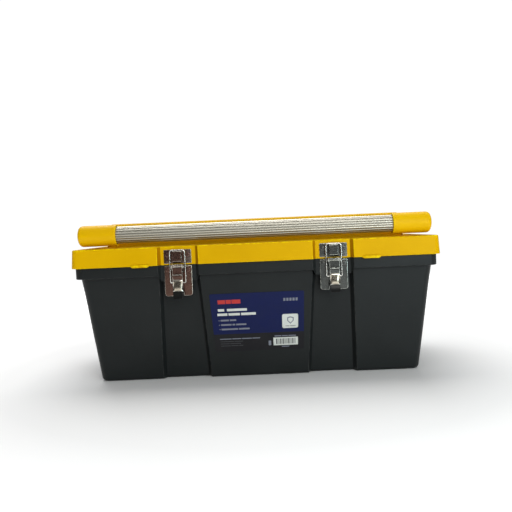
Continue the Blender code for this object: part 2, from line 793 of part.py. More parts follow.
def make_label():
    """A thin sheet on the sloping middle panel, a little narrower at its foot."""
    corners = [(-0.0720, 0.0735, LABEL_LOW_Z), (-0.0787, 0.0772, LABEL_HIGH_Z)]
    rings = []
    for left, right, z in corners:
        face = -between(TUB_FOOT_HALF_Y, TUB_HALF_Y, z) - GAP
        front = face - LABEL_T
        rings.append([(left, front, z), (right, front, z), (right, face, z), (left, face, z)])
    add("front_label", loft(rings), paper)


clear_scene()
toolbox = bpy.data.objects.new("toolbox", None)
toolbox.location = (0, SHIFT_Y, 0)
bpy.context.scene.collection.objects.link(toolbox)

guide_look = material("guide", (0.5, 0.5, 0.5), 0.5)
charcoal = material("charcoal_plastic", (0.020, 0.024, 0.025), 0.50)
yellow = material("yellow_plastic", (0.72, 0.42, 0.0), 0.38)
aluminium = material("fluted_aluminium", (0.72, 0.72, 0.66), 0.32, 1.0)
nickel = material("nickel_plate", (0.62, 0.60, 0.54), 0.22, 1.0)
steel = material("pin_steel", (0.55, 0.55, 0.55), 0.35, 1.0)
paper = material("printed_label", (0.03, 0.05, 0.25), 0.45)

make_tub()
make_lid()
make_hinge_pins()
make_rivets()
make_latches()
make_handle()
make_tray()
make_label()
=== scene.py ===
import json
from math import cos, pi, radians, sin, tan

import bmesh
import bpy
from mathutils import Matrix, Vector


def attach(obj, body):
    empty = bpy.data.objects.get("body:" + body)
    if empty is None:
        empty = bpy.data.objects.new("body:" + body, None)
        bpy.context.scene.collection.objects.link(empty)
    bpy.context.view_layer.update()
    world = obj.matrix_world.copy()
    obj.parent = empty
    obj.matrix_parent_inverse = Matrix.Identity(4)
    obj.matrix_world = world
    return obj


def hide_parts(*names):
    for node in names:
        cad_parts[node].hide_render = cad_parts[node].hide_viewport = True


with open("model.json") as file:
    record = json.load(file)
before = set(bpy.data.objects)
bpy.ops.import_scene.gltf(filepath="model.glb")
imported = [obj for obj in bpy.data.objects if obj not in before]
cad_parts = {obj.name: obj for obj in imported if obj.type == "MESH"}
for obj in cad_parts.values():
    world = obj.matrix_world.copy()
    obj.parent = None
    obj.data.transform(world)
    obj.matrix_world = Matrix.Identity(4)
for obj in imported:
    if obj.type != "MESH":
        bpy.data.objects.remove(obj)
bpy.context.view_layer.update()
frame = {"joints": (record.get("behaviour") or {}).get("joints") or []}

# Looks for a 24 inch plastic toolbox: the same pieces as the CAD model, with finer shapes.
# Metres, +Z up, the front faces -Y. Shapes are written about the tub's centre line, and moved
# by SHIFT, which comes from where the CAD model has its hinge. Colours are linear.

GAP = 0.0003

LID_HALF_X, LID_HALF_Y, LID_WALL = 0.300, 0.142, 0.003
SEAM_Z, SHELF_Z, SKIRT_DRAFT, LID_CORNER = 0.191, 0.2215, 0.0018, 0.012
HUMP_TOP_Z, HUMP_HALF_X, HUMP_HALF_Y = 0.262, 0.258, 0.077
HUMP_DRAFT, HUMP_ROUND, HUMP_CORNER = 0.0035, 0.008, 0.020
TAB_X, TAB_BACK_Y, TAB_FRONT_Y, BOSS_IN = 0.187, -0.1395, -0.1412, 0.0045

TUB_WALL, TUB_CORNER, FOOT_ROUND = 0.003, 0.014, 0.006
TUB_FOOT_HALF_X, TUB_FOOT_HALF_Y, TUB_HALF_X, TUB_HALF_Y = 0.2655, 0.119, 0.289, 0.1283
FLANGE_Z, FLANGE_HALF_X, FLANGE_HALF_Y = 0.173, 0.2953, 0.1383
RIM_HALF_X, RIM_HALF_Y, RIM_WALL, RIM_TOP_Z, RIM_BACK = 0.2947, 0.1372, 0.0024, 0.1987, 0.0045
LEDGE_Z = 0.176

RECESS_DEPTH, RECESS_RUN = 0.009, 0.0048
RECESS_IN, RECESS_OUT, RECESS_FOOT_IN, RECESS_FOOT_OUT = 0.0925, 0.159, 0.080, 0.161
RECESS_FACE_Y, PAD_DROP = -0.133, 0.008
WALL_GROW = 0.0018

HINGE_X, HINGE_Y, HINGE_Z, KNUCKLE_R, HINGE_PIN_R = 0.185, 0.1485, 0.190, 0.005, 0.0019
LID_KNUCKLE_HALF_X, TUB_KNUCKLES = 0.0105, ((-0.025, -0.011), (0.011, 0.025))
LID_BACK_Y, TUB_BACK_Y = 0.1405, 0.137

HANDLE_Z, HANDLE_Y, HANDLE_HALF_X = 0.243, -0.117, 0.289
CAP_R, CAP_MOUTH_X, CAP_BORE_R, CAP_BORE_X = 0.01725, 0.226, 0.0144, 0.2655
CAP_LIP, CAP_END_ROUND = 0.0004, 0.007
BAR_R, BAR_WALL, BAR_HALF_X, BAR_FLUTES, FLUTE_DEPTH = 0.014, 0.002, 0.263, 20, 0.0007
ARM_INNER_X, ARM_OUTER_X, ARM_R, PIVOT_R, HANDLE_PIN_R = 0.263, 0.2825, 0.012, 0.013, 0.0035

LATCH_X, PLATE_T, PLATE_HALF_X = 0.1265, 0.0012, 0.0225
STRIKE_LOW_Z, STRIKE_TOP_Z = 0.193, 0.2157
TONGUE_HALF_X, TONGUE_TOP_Z, TONGUE_FRONT_Y = 0.007, 0.2135, -0.1415
BASE_LOW_Z, BASE_TOP_Z = 0.140, 0.189
LEVER_Y, LEVER_Z, LEVER_HALF_X, LEVER_T, LEVER_PIN_R = -0.1415, 0.188, 0.008, 0.0011, 0.0015
BAIL_Y, BAIL_Z, BAIL_HALF_X, WIRE_R, BAIL_TOP_Y = 0.0033, -0.026, 0.01225, 0.0011, -0.1385
RIVET_X, STRIKE_RIVET_Z, BASE_RIVET_Z, RIVET_R = 0.0165, 0.207, 0.1825, 0.002

TRAY_WALL, TRAY_FLOOR_Z, TRAY_RIM_TOP_Z, TRAY_GRIP_Z = 0.0022, 0.132, 0.183, 0.228
TRAY_RIM_HALF_X, TRAY_RIM_HALF_Y, TRAY_FACE_Y, TRAY_CLEAR = 0.2906, 0.1330, -0.1222, 0.003
GRIP_SLOT_X, GRIP_SLOT_R, GRIP_SLOT_DOWN = 0.048, 0.012, 0.029
DIVIDERS_FRONT, DIVIDERS_REAR, DIVIDER_HALF_T = (-0.150, 0.090), (-0.060, 0.160), 0.001
SPINE_HALF_T, SPINE_EDGE = 0.0011, 0.0004

# The label's sides lean: each x is at its top, and moves by the lean down to its foot
LABEL_LOW_Z, LABEL_HIGH_Z, LABEL_T = 0.0431, 0.1395, 0.0004
LABEL_LEFT_X, LABEL_LEFT_LEAN, LABEL_RIGHT_X, LABEL_RIGHT_LEAN = -0.0787, 0.0067, 0.0772, -0.0037
LABEL_ASPECT, INK_T, OVERPRINT_T = 1.61, 0.00007, 0.00005

CAMERA_PLACE = (0.0059, -1.100, 0.2443)
CAMERA_TURN = (-0.29, -2.65, -2.476)  # yaw, pitch and roll in degrees
SENSOR_MM, LENS_MM = 36.0, 41.8359375
LIGHT_AIM = (0, 0, 0.13)
FLOOR_R, FLOOR_SIDES = 1.9, 96

SIDES = (("left", -1), ("right", 1))
CORNER_STEPS = 10  # points round a corner of the tub, lid or tray
EDGE_REACH = 0.0016  # a round of this radius or less counts as a full edge
TINY = 1e-7

hinge = next(j for j in frame["joints"] if j["name"] == "lid_hinge")
SHIFT = Matrix.Translation((0, hinge["pos_m"][1] - HINGE_Y, 0))


# ---- shapes


def arc(centre, radius, start, end, steps):
    """Points on an arc in a plane, angles in degrees."""
    turns = [radians(start + (end - start) * i / steps) for i in range(steps + 1)]
    return [(centre[0] + radius * cos(t), centre[1] + radius * sin(t)) for t in turns]


def rounded(corners):
    """A closed line with each corner (x, y, radius, steps, tag) made round, as (x, y, tag)."""
    line = []
    for i, (x, y, radius, steps, tag) in enumerate(corners):
        here = Vector((x, y, 0))
        behind = Vector((*corners[i - 1][:2], 0)) - here
        ahead = Vector((*corners[(i + 1) % len(corners)][:2], 0)) - here
        room = 0.49 * min(behind.length, ahead.length)
        behind.normalize()
        ahead.normalize()
        turn = pi - behind.angle(ahead)
        straight = turn < 0.02
        reach = min(radius * (0.5 if straight else tan(turn / 2)), room)
        start, end = here + behind * reach, here + ahead * reach
        if not straight:
            centre = here + (behind + ahead).normalized() * reach / sin(turn / 2)
        for k in range(steps + 1):
            t = k / steps
            if straight:
                point = start.lerp(end, t)
            else:
                near, far = sin((1 - t) * turn), sin(t * turn)
                point = centre + ((start - centre) * near + (end - centre) * far) / sin(turn)
            line.append((point.x, point.y, tag))
    return line


def eased(shape, radius, steps):
    """A closed flat line with all its corners made round."""
    return [(a, b) for a, b, _ in rounded([(a, b, radius, steps, None) for a, b in shape])]


def outline(half_x, half_y, radius, notch_in, notch_out, depth, edge=0.0016):
    """A rounded rectangle with two recesses in its front edge, as (x, y, inside a recess)."""
    corners = [(-half_x, -half_y, radius, CORNER_STEPS, False)]
    for side in (-1, 1):
        steps = [
            (notch_out, 0, False),
            (notch_out - RECESS_RUN, depth, True),
            (notch_in + RECESS_RUN, depth, True),
            (notch_in, 0, False),
        ]
        for at, inward, inside in steps[::-side]:
            corners.append((side * at, -half_y + inward, edge, 3, inside))
    for x, y in ((half_x, -half_y), (half_x, half_y), (-half_x, half_y)):
        corners.append((x, y, radius, CORNER_STEPS, False))
    return rounded(corners)


def ring(z, shape, drop=0.0):
    """An outline at a height, with what is inside a recess let down by a drop."""
    return [(x, y, z - drop if inside else z) for x, y, inside in shape]


def loft(rings):
    """A closed skin through rings of the same number of points, with a flat cap at each end."""
    bm = bmesh.new()
    rows = [[bm.verts.new(p) for p in points] for points in rings]
    for low, high in zip(rows, rows[1:]):
        for i in range(len(low)):
            j = (i + 1) % len(low)
            bm.faces.new((low[i], low[j], high[j], high[i]))
    bm.faces.new(rows[0])
    bm.faces.new(rows[-1])
    bmesh.ops.recalc_face_normals(bm, faces=bm.faces)
    return bm


def soften(bm, width, segments=2, angle=35):
    """Rounds the sharp edges of a shape."""
    sharp = [e for e in bm.edges if e.is_manifold and e.calc_face_angle(0) > radians(angle)]
    shape = {"offset": width, "segments": segments, "profile": 0.5}
    bmesh.ops.bevel(bm, geom=sharp, affect="EDGES", clamp_overlap=True, **shape)
    bmesh.ops.dissolve_degenerate(bm, dist=TINY, edges=bm.edges)
    return bm


def box(low, high, edge):
    (x0, y0, z0), (x1, y1, z1) = low, high
    return soften(loft([[(x, y, z) for x, y in rectangle(x0, y0, x1, y1)] for z in (z0, z1)]), edge)


def across_x(shape, x0, x1, edge):
    """A flat (y, z) shape, made thick along X."""
    return soften(loft([[(x, y, z) for y, z in shape] for x in (x0, x1)]), edge)


def on_side(shape, x, side, near, far, edge):
    """The same between two distances from x, on one side of it."""
    return across_x(shape, *sorted((x + side * near, x + side * far)), edge)


def rectangle(a0, b0, a1, b1):
    return [(a0, b0), (a1, b0), (a1, b1), (a0, b1)]


def mirrored(half):
    """A line of points, followed by its mirror image on the other side of zero."""
    return half + [(-a, b) for a, b in reversed(half)]


def turned_x(profile, y, z, segments):
    """A solid turned about a line along X, from (x, radius) pairs."""
    angles = [2 * pi * i / segments for i in range(segments)]
    return loft([[(x, y + r * cos(a), z + r * sin(a)) for a in angles] for x, r in profile])


def turned_y(profile, x, z, segments=28):
    """A solid turned about a line along Y, from (y, radius) pairs."""
    angles = [2 * pi * i / segments for i in range(segments)]
    return loft([[(x + r * cos(a), y, z + r * sin(a)) for a in angles] for y, r in profile])


def wire(points, radius, sides=14):
    """A round wire along a line of points."""
    points = [Vector(p) for p in points]
    rings = []
    for i, point in enumerate(points):
        ahead = points[min(i + 1, len(points) - 1)]
        behind = points[max(i - 1, 0)]
        along = (ahead - behind).normalized()
        side = along.cross(Vector((0, 1, 0))).normalized()
        up = side.cross(along)
        angles = [2 * pi * k / sides for k in range(sides)]
        rings.append([point + radius * (cos(a) * side + sin(a) * up) for a in angles])
    return loft(rings)


def mark_edges(bm):
    """Stores how sharply the surface turns at each point, 0 where flat and 1 on a small round:
    outward turns as "edge" and inward ones as "crease"."""
    layers = [bm.verts.layers.float.new(name) for name in ("edge", "crease")]
    for edge in bm.edges:
        if not edge.is_manifold or edge.calc_length() < TINY:
            continue
        width = sum(face.calc_area() for face in edge.link_faces) / 2 / edge.calc_length()
        bend = edge.calc_face_angle_signed(0) / max(width, 100 * TINY)
        for layer, turn in zip(layers, (bend, -bend)):
            for vert in edge.verts:
                vert[layer] = max(vert[layer], min(1.0, turn * EDGE_REACH))


def new_object(name, data):
    made = bpy.data.objects.new(name, data)
    bpy.context.scene.collection.objects.link(made)
    return made


def piece(name, parts, looks, body, nodes):
    """One visible piece made of (shape, material number) parts, riding on a body."""
    whole = bmesh.new()
    for bm, number in parts:
        for face in bm.faces:
            face.material_index = number
        step = bpy.data.meshes.new("step")
        bm.to_mesh(step)
        bm.free()
        whole.from_mesh(step)
        bpy.data.meshes.remove(step)
    whole.transform(SHIFT)
    mark_edges(whole)
    mesh = bpy.data.meshes.new(name)
    whole.to_mesh(mesh)
    whole.free()
    for look in looks:
        mesh.materials.append(look)
    mesh.shade_smooth()
    mesh.set_sharp_from_angle(angle=radians(38))
    made = new_object(name, mesh)
    made.modifiers.new("flat faces stay flat", "WEIGHTED_NORMAL").keep_sharp = True
    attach(made, body)
    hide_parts(*nodes)


# ---- materials


# Noise scales, in features per metre
PLASTIC_CLOUD, PLASTIC_RUB, PLASTIC_SCRATCH, PLASTIC_GLOSS = 9.0, 160.0, 70.0, 28.0
METAL_CLOUD, METAL_RUB, METAL_BRUSH = 60.0, 400.0, 300.0
INK_CLOUD, INK_GLOSS, INK_GRAIN = 45.0, 120.0, 300.0
MIX_FACTOR, MIX_A, MIX_B, MIX_RESULT = 0, 6, 7, 2  # a colour Mix node's sockets

# The second colour is painted shade for the upright walls of the lid's recesses.
TARNISH, RECESS_PAINTED_SHADE = (0.030, 0.026, 0.020), (0.30, 0.080, 0.0002)
RECESS_WALLS_HALF_X = 0.28  # the lid's end walls lie outside this, and get no painted shade


def mixed(tree, factor, a, b):
    """A colour between two others. Each is a colour or a socket."""
    node = tree.nodes.new("ShaderNodeMix")
    node.data_type = "RGBA"
    for number, value in ((MIX_FACTOR, factor), (MIX_A, a), (MIX_B, b)):
        socket = node.inputs[number]
        if isinstance(value, bpy.types.NodeSocket):
            tree.links.new(value, socket)
        else:
            socket.default_value = value if isinstance(value, float) else (*value, 1.0)
    return node.outputs[MIX_RESULT]


def span(tree, source, low, high, to_low=0.0, to_high=1.0):
    """A number from one range moved to another, held at its ends."""
    node = tree.nodes.new("ShaderNodeMapRange")
    tree.links.new(source, node.inputs["Value"])
    ends = (("From Min", low), ("From Max", high), ("To Min", to_low), ("To Max", to_high))
    for name, value in ends:
        node.inputs[name].default_value = value
    return node.outputs["Result"]


def maths(tree, operation, a, b):
    node = tree.nodes.new("ShaderNodeMath")
    node.operation = operation
    for socket, value in zip(node.inputs, (a, b)):
        if isinstance(value, bpy.types.NodeSocket):
            tree.links.new(value, socket)
        else:
            socket.default_value = value
    return node.outputs[0]


def times(tree, a, b):
    return maths(tree, "MULTIPLY", a, b)


def noise(tree, scale, detail=3.0, stretch=(1, 1, 1)):
    """Noise in the piece's own space, in features per metre, stretched along some axes."""
    place = tree.nodes.new("ShaderNodeTexCoord")
    fit = tree.nodes.new("ShaderNodeMapping")
    fit.inputs["Scale"].default_value = stretch
    made = tree.nodes.new("ShaderNodeTexNoise")
    made.inputs["Scale"].default_value = scale
    made.inputs["Detail"].default_value = detail
    tree.links.new(place.outputs["Object"], fit.inputs["Vector"])
    tree.links.new(fit.outputs["Vector"], made.inputs["Vector"])
    return made.outputs[0]


def marked(tree, name):
    """What mark_edges stored under a name."""
    node = tree.nodes.new("ShaderNodeAttribute")
    node.attribute_name = name
    return node.outputs["Fac"]


def feed(tree, source, shader, name):
    tree.links.new(source, shader.inputs[name])


def new_look(name):
    made = bpy.data.materials.new(name)
    made.use_nodes = True
    return made, made.node_tree, made.node_tree.nodes["Principled BSDF"]


def bump(tree, shader, height, distance, strength=1.0):
    node = tree.nodes.new("ShaderNodeBump")
    node.inputs["Strength"].default_value = strength
    node.inputs["Distance"].default_value = distance
    tree.links.new(height, node.inputs["Height"])
    tree.links.new(node.outputs["Normal"], shader.inputs["Normal"])


def plastic(name, base, deep, worn_and_highlit, rough, shine, grain=900.0, relief=0.00006):
    """Moulded plastic: cloudy colour, rubbed edges that also carry a painted highlight, creases
    darkened by dirt and painted shade, a few fine scratches and a fine grain."""
    made, tree, shader = new_look(name)
    cloud = span(tree, noise(tree, PLASTIC_CLOUD, 4.0), 0.35, 0.68)
    colour = mixed(tree, cloud, base, deep)
    rub = span(tree, noise(tree, PLASTIC_RUB, 4.0), 0.38, 0.62)
    # Wear and painted highlight: rounded edges are lightened towards the third colour.
    wear_and_highlight = times(tree, span(tree, marked(tree, "edge"), 0.30, 0.65), rub)
    colour = mixed(tree, times(tree, wear_and_highlight, 0.70), colour, worn_and_highlit)
    # Dirt and painted shade: creases are darkened towards a dark version of the deep colour.
    crease_darkening = times(tree, span(tree, marked(tree, "crease"), 0.35, 0.95), 0.35)
    colour = mixed(tree, crease_darkening, colour, tuple(0.35 * c for c in deep))
    scratch = span(tree, noise(tree, PLASTIC_SCRATCH, 5.0, (1, 9, 9)), 0.64, 0.70)
    colour = mixed(tree, times(tree, scratch, 0.10), colour, worn_and_highlit)
    feed(tree, colour, shader, "Base Color")
    uneven = span(tree, noise(tree, PLASTIC_GLOSS, 5.0), 0.3, 0.7, rough - 0.05, rough + 0.07)
    dulled = maths(tree, "ADD", uneven, times(tree, wear_and_highlight, 0.08))
    feed(tree, dulled, shader, "Roughness")
    shader.inputs["Specular IOR Level"].default_value = shine
    bump(tree, shader, noise(tree, grain, 2.0), relief, 0.6)
    return made


def shade_recesses(look):
    """Paints shade on the upright walls of the recesses, which face sideways."""
    tree = look.node_tree
    shader = tree.nodes["Principled BSDF"]
    colour = shader.inputs["Base Color"].links[0].from_socket
    place = tree.nodes.new("ShaderNodeNewGeometry")
    facing = tree.nodes.new("ShaderNodeSeparateXYZ")
    where = tree.nodes.new("ShaderNodeSeparateXYZ")
    tree.links.new(place.outputs["Normal"], facing.inputs[0])
    tree.links.new(place.outputs["Position"], where.inputs[0])
    sideways = span(tree, maths(tree, "ABSOLUTE", facing.outputs["X"], 0.0), 0.55, 0.90)
    out = maths(tree, "ABSOLUTE", where.outputs["X"], 0.0)
    inboard = span(tree, out, RECESS_WALLS_HALF_X + 0.006, RECESS_WALLS_HALF_X)
    # Painted shade: how strongly the sideways walls inside the recesses are darkened.
    painted_shade_cover = times(tree, times(tree, sideways, inboard), 0.8)
    feed(tree, mixed(tree, painted_shade_cover, colour, RECESS_PAINTED_SHADE), shader, "Base Color")


def metal(
    name, base, deep, bright, rough, stretch=(1, 1, 6), grain=METAL_BRUSH, relief=0.00002, dirt=0.5
):
    """Rolled or drawn metal: uneven tarnish, rubbed edges brightened also by a painted highlight,
    dirty creases and brush lines.
    """
    made, tree, shader = new_look(name)
    cloud = span(tree, noise(tree, METAL_CLOUD, 4.0), 0.35, 0.65)
    colour = mixed(tree, cloud, base, deep)
    rub = span(tree, noise(tree, METAL_RUB, 3.0), 0.25, 0.50)
    # Wear and painted highlight: rounded edges are lightened towards the bright colour.
    wear_and_highlight = times(tree, span(tree, marked(tree, "edge"), 0.30, 0.80), rub)
    colour = mixed(tree, wear_and_highlight, colour, bright)
    crease_darkening = times(tree, span(tree, marked(tree, "crease"), 0.30, 0.80), dirt)
    feed(tree, mixed(tree, crease_darkening, colour, TARNISH), shader, "Base Color")
    shader.inputs["Metallic"].default_value = 1.0
    lines = noise(tree, grain, 3.0, stretch)
    feed(tree, span(tree, lines, 0.3, 0.7, rough - 0.06, rough + 0.08), shader, "Roughness")
    bump(tree, shader, lines, relief, 0.5)
    return made


def print_ink(name, base, deep):
    """Printed film: nearly even, with faint mottling and a soft gloss."""
    made, tree, shader = new_look(name)
    mottled = span(tree, noise(tree, INK_CLOUD, 4.0), 0.3, 0.7)
    feed(tree, mixed(tree, mottled, base, deep), shader, "Base Color")
    gloss = span(tree, noise(tree, INK_GLOSS, 3.0), 0.3, 0.7, 0.34, 0.44)
    feed(tree, gloss, shader, "Roughness")
    shader.inputs["Specular IOR Level"].default_value = 0.16
    bump(tree, shader, noise(tree, INK_GRAIN, 2.0), 0.00002, 0.4)
    return made


# Each look has its usual colour, one that clouds it and, but for inks, one for its rubbed
# edges, which also paints a highlight along them.
tub_look = plastic(
    "charcoal_plastic", (0.0096, 0.0116, 0.0117), (0.0128, 0.0152, 0.0153), (0.045, 0.047, 0.045),
    rough=0.40, shine=0.19,
)
# The yellow plastics' edge colours are bright enough to paint a highlight along the rounded edges.
lid_look = plastic(
    "yellow_plastic", (0.74, 0.425, 0.0002), (0.67, 0.375, 0.0002), (1.0, 0.80, 0.002),
    rough=0.42, shine=0.05,
)
shade_recesses(lid_look)
cap_look = plastic(
    "yellow_cap_plastic", (0.80, 0.475, 0.0003), (0.73, 0.410, 0.0003), (0.98, 0.76, 0.004),
    rough=0.36, shine=0.08,
)
tray_look = plastic(
    "tray_plastic", (0.014, 0.015, 0.015), (0.019, 0.020, 0.020), (0.060, 0.060, 0.058),
    rough=0.46, shine=0.25,
)
grip_look = plastic(
    "finger_tab_black", (0.0025, 0.0028, 0.0027), (0.0040, 0.0044, 0.0042), (0.02, 0.02, 0.02),
    rough=0.26, shine=0.22, grain=700.0, relief=0.00003,
)
bar_look = metal(
    "fluted_aluminium", (0.49, 0.465, 0.39), (0.45, 0.425, 0.35), (0.56, 0.54, 0.47),
    rough=0.42, stretch=(0.01, 40, 40), grain=60.0, relief=0.000002, dirt=0.62,
)
# Painted reflections: the left latch's metal is coloured with a painted brown reflection and the
# right one's with a painted grey reflection.
brown = (0.150, 0.082, 0.062), (0.110, 0.064, 0.050)
grey = (0.095, 0.098, 0.092), (0.070, 0.074, 0.070)
nickel_left_painted_reflection = metal("nickel_left_painted_reflection", *brown, (0.66, 0.62, 0.54), 0.24)
nickel_right_painted_reflection = metal("nickel_right_painted_reflection", *grey, (0.66, 0.68, 0.62), 0.24)
rivet_left_painted_reflection = metal("rivet_left_painted_reflection", *brown, (0.19, 0.11, 0.09), 0.26)
rivet_right_painted_reflection = metal("rivet_right_painted_reflection", *grey, (0.13, 0.13, 0.12), 0.26)
nickel_polished = metal(
    "nickel_polished", (0.48, 0.43, 0.34), (0.40, 0.355, 0.28), (0.72, 0.72, 0.66), 0.16
)
nickel_bright = metal(
    "nickel_bright", (0.52, 0.48, 0.41), (0.42, 0.38, 0.32), (0.84, 0.83, 0.78), 0.15
)
steel_look = metal(
    "pin_steel", (0.42, 0.41, 0.39), (0.34, 0.33, 0.31), (0.66, 0.66, 0.64), 0.30, (6, 1, 6)
)
NAVY, BLACK, RED, WHITE, GREY, DIM = range(6)
inks = [
    print_ink("print_navy", (0.0030, 0.0080, 0.064), (0.0050, 0.0095, 0.056)),
    print_ink("print_black", (0.0105, 0.0100, 0.0125), (0.0135, 0.0130, 0.0150)),
    print_ink("print_red", (0.52, 0.045, 0.040), (0.46, 0.040, 0.036)),
    print_ink("print_white", (0.66, 0.68, 0.64), (0.58, 0.60, 0.56)),
    print_ink("print_grey", (0.20, 0.21, 0.25), (0.17, 0.18, 0.22)),
    print_ink("print_dim", (0.055, 0.055, 0.058), (0.045, 0.045, 0.050)),
]


# ---- tub


def between(low, high, z):
    """A measure of the tub's leaning walls at a height, from its foot to its flange."""
    return low + (high - low) * z / FLANGE_Z


def wall_outline(z, inset=0.0, notch_grow=0.0):
    """The tub's wall at a height, drawn in by an inset."""
    return outline(
        between(TUB_FOOT_HALF_X, TUB_HALF_X, z) - inset,
        between(TUB_FOOT_HALF_Y, TUB_HALF_Y, z) - inset,
        TUB_CORNER - min(inset, 0.008),
        between(RECESS_FOOT_IN, RECESS_IN, z) - notch_grow,
        between(RECESS_FOOT_OUT, RECESS_OUT, z) + notch_grow,
        RECESS_DEPTH,
    )


def rim_outline(half_x, half_y, face_y, notch_grow=0.0):
    """An outline whose recesses reach back to a given plane."""
    grow_in, grow_out = RECESS_IN - notch_grow, RECESS_OUT + notch_grow
    return outline(half_x, half_y, TUB_CORNER, grow_in, grow_out, face_y + half_y, 0.0012)


def quarter(radius, steps):
    """(inset, depth) pairs round an outer edge, from its face to its top."""
    turns = [pi / 2 * i / steps for i in range(steps + 1)]
    return [(radius * (1 - cos(t)), radius * (1 - sin(t))) for t in turns]


def tub_rings():
    """The outside from the floor up over the flange and the rim, then the inside back down."""
    rings = [ring(z, wall_outline(z, inset)) for inset, z in reversed(quarter(FOOT_ROUND, 6))]
    levels = 6
    for i in range(1, levels):
        z = FOOT_ROUND + (FLANGE_Z - 0.002 - FOOT_ROUND) * i / levels
        rings.append(ring(z, wall_outline(z)))
    top = SEAM_Z - GAP
    rings.append(ring(FLANGE_Z - 0.0028, wall_outline(FLANGE_Z), PAD_DROP))
    rings.append(ring(FLANGE_Z - 0.0006, wall_outline(FLANGE_Z, -0.0004), PAD_DROP))
    low_edge = [(FLANGE_Z, 0.0012), (FLANGE_Z + 0.0004, 0.0003), (FLANGE_Z + 0.0013, 0.0)]
    high_edge = [(top - 0.0007, 0.0), (top - 0.0002, 0.0002), (top, 0.0007)]
    for edge, drop in ((low_edge, PAD_DROP), (high_edge, 0.0)):
        for z, inset in edge:
            shape = rim_outline(FLANGE_HALF_X - inset, FLANGE_HALF_Y - inset, RECESS_FACE_Y)
            rings.append(ring(z, shape, drop))
    back = RECESS_FACE_Y + RIM_BACK
    for z, inset, grow in (
        (top, 0.0, 0.0015),
        (RIM_TOP_Z - 0.0006, 0.0, 0.0015),
        (RIM_TOP_Z, 0.0006, 0.0018),
        (RIM_TOP_Z, RIM_WALL - 0.0006, 0.0025),
        (RIM_TOP_Z - 0.0006, RIM_WALL, 0.0028),
    ):
        shape = rim_outline(RIM_HALF_X - inset, RIM_HALF_Y - inset, back + inset, grow)
        rings.append(ring(z, shape))
    rings.append(ring(LEDGE_Z, shape, PAD_DROP))
    for inset, down in ((TUB_WALL - 0.0006, 0.0002), (TUB_WALL, 0.0010)):
        rings.append(ring(LEDGE_Z - down, wall_outline(LEDGE_Z, inset, WALL_GROW), PAD_DROP))
    for i in range(4, 0, -1):
        z = TUB_WALL + FOOT_ROUND + (LEDGE_Z - 0.016 - TUB_WALL - FOOT_ROUND) * i / 4
        rings.append(ring(z, wall_outline(z, TUB_WALL, WALL_GROW)))
    for inset, z in quarter(FOOT_ROUND - 0.001, 4):
        rings.append(ring(TUB_WALL + z, wall_outline(TUB_WALL, TUB_WALL + inset, WALL_GROW)))
    return rings


def knuckle(x0, x1, web_low, web_high, wall_y):
    """A hinge knuckle and the web that joins it to a wall in front of it."""
    edge = 0.0006
    profile = [(x0, KNUCKLE_R - edge), (x0 + edge, KNUCKLE_R)]
    profile += [(x1 - edge, KNUCKLE_R), (x1, KNUCKLE_R - edge)]
    web = rectangle(wall_y, web_low, HINGE_Y, web_high)
    return [
        (turned_x(profile, HINGE_Y, HINGE_Z, 32), 0),
        (across_x(web, x0 + 0.0002, x1 - 0.0002, 0.0004), 0),
    ]


def make_tub():
    parts = [(loft(tub_rings()), 0)]
    low, high = HINGE_Z - KNUCKLE_R + 0.0002, HINGE_Z - 0.0002
    for side in (-1, 1):
        for x0, x1 in TUB_KNUCKLES:
            parts += knuckle(side * HINGE_X + x0, side * HINGE_X + x1, low, high, TUB_BACK_Y)
    piece("tub_skin", parts, [tub_look], "tub", ["body_tub"])


# ---- lid


def skirt_outline(inset, face_y):
    """The lid's skirt drawn in by an inset, with its recesses reaching back to a plane."""
    half_y = LID_HALF_Y - inset
    grow = 0.0 if face_y <= RECESS_FACE_Y + 0.0016 else WALL_GROW
    corner = LID_CORNER - min(inset, 0.006)
    notch_in, notch_out = RECESS_IN - grow, RECESS_OUT + grow
    return outline(LID_HALF_X - inset, half_y, corner, notch_in, notch_out, half_y + face_y)


def hump_outline(inset):
    corner = HUMP_CORNER - min(inset, 0.012)
    return outline(HUMP_HALF_X - inset, HUMP_HALF_Y - inset, corner, RECESS_IN, RECESS_OUT, 0.0)


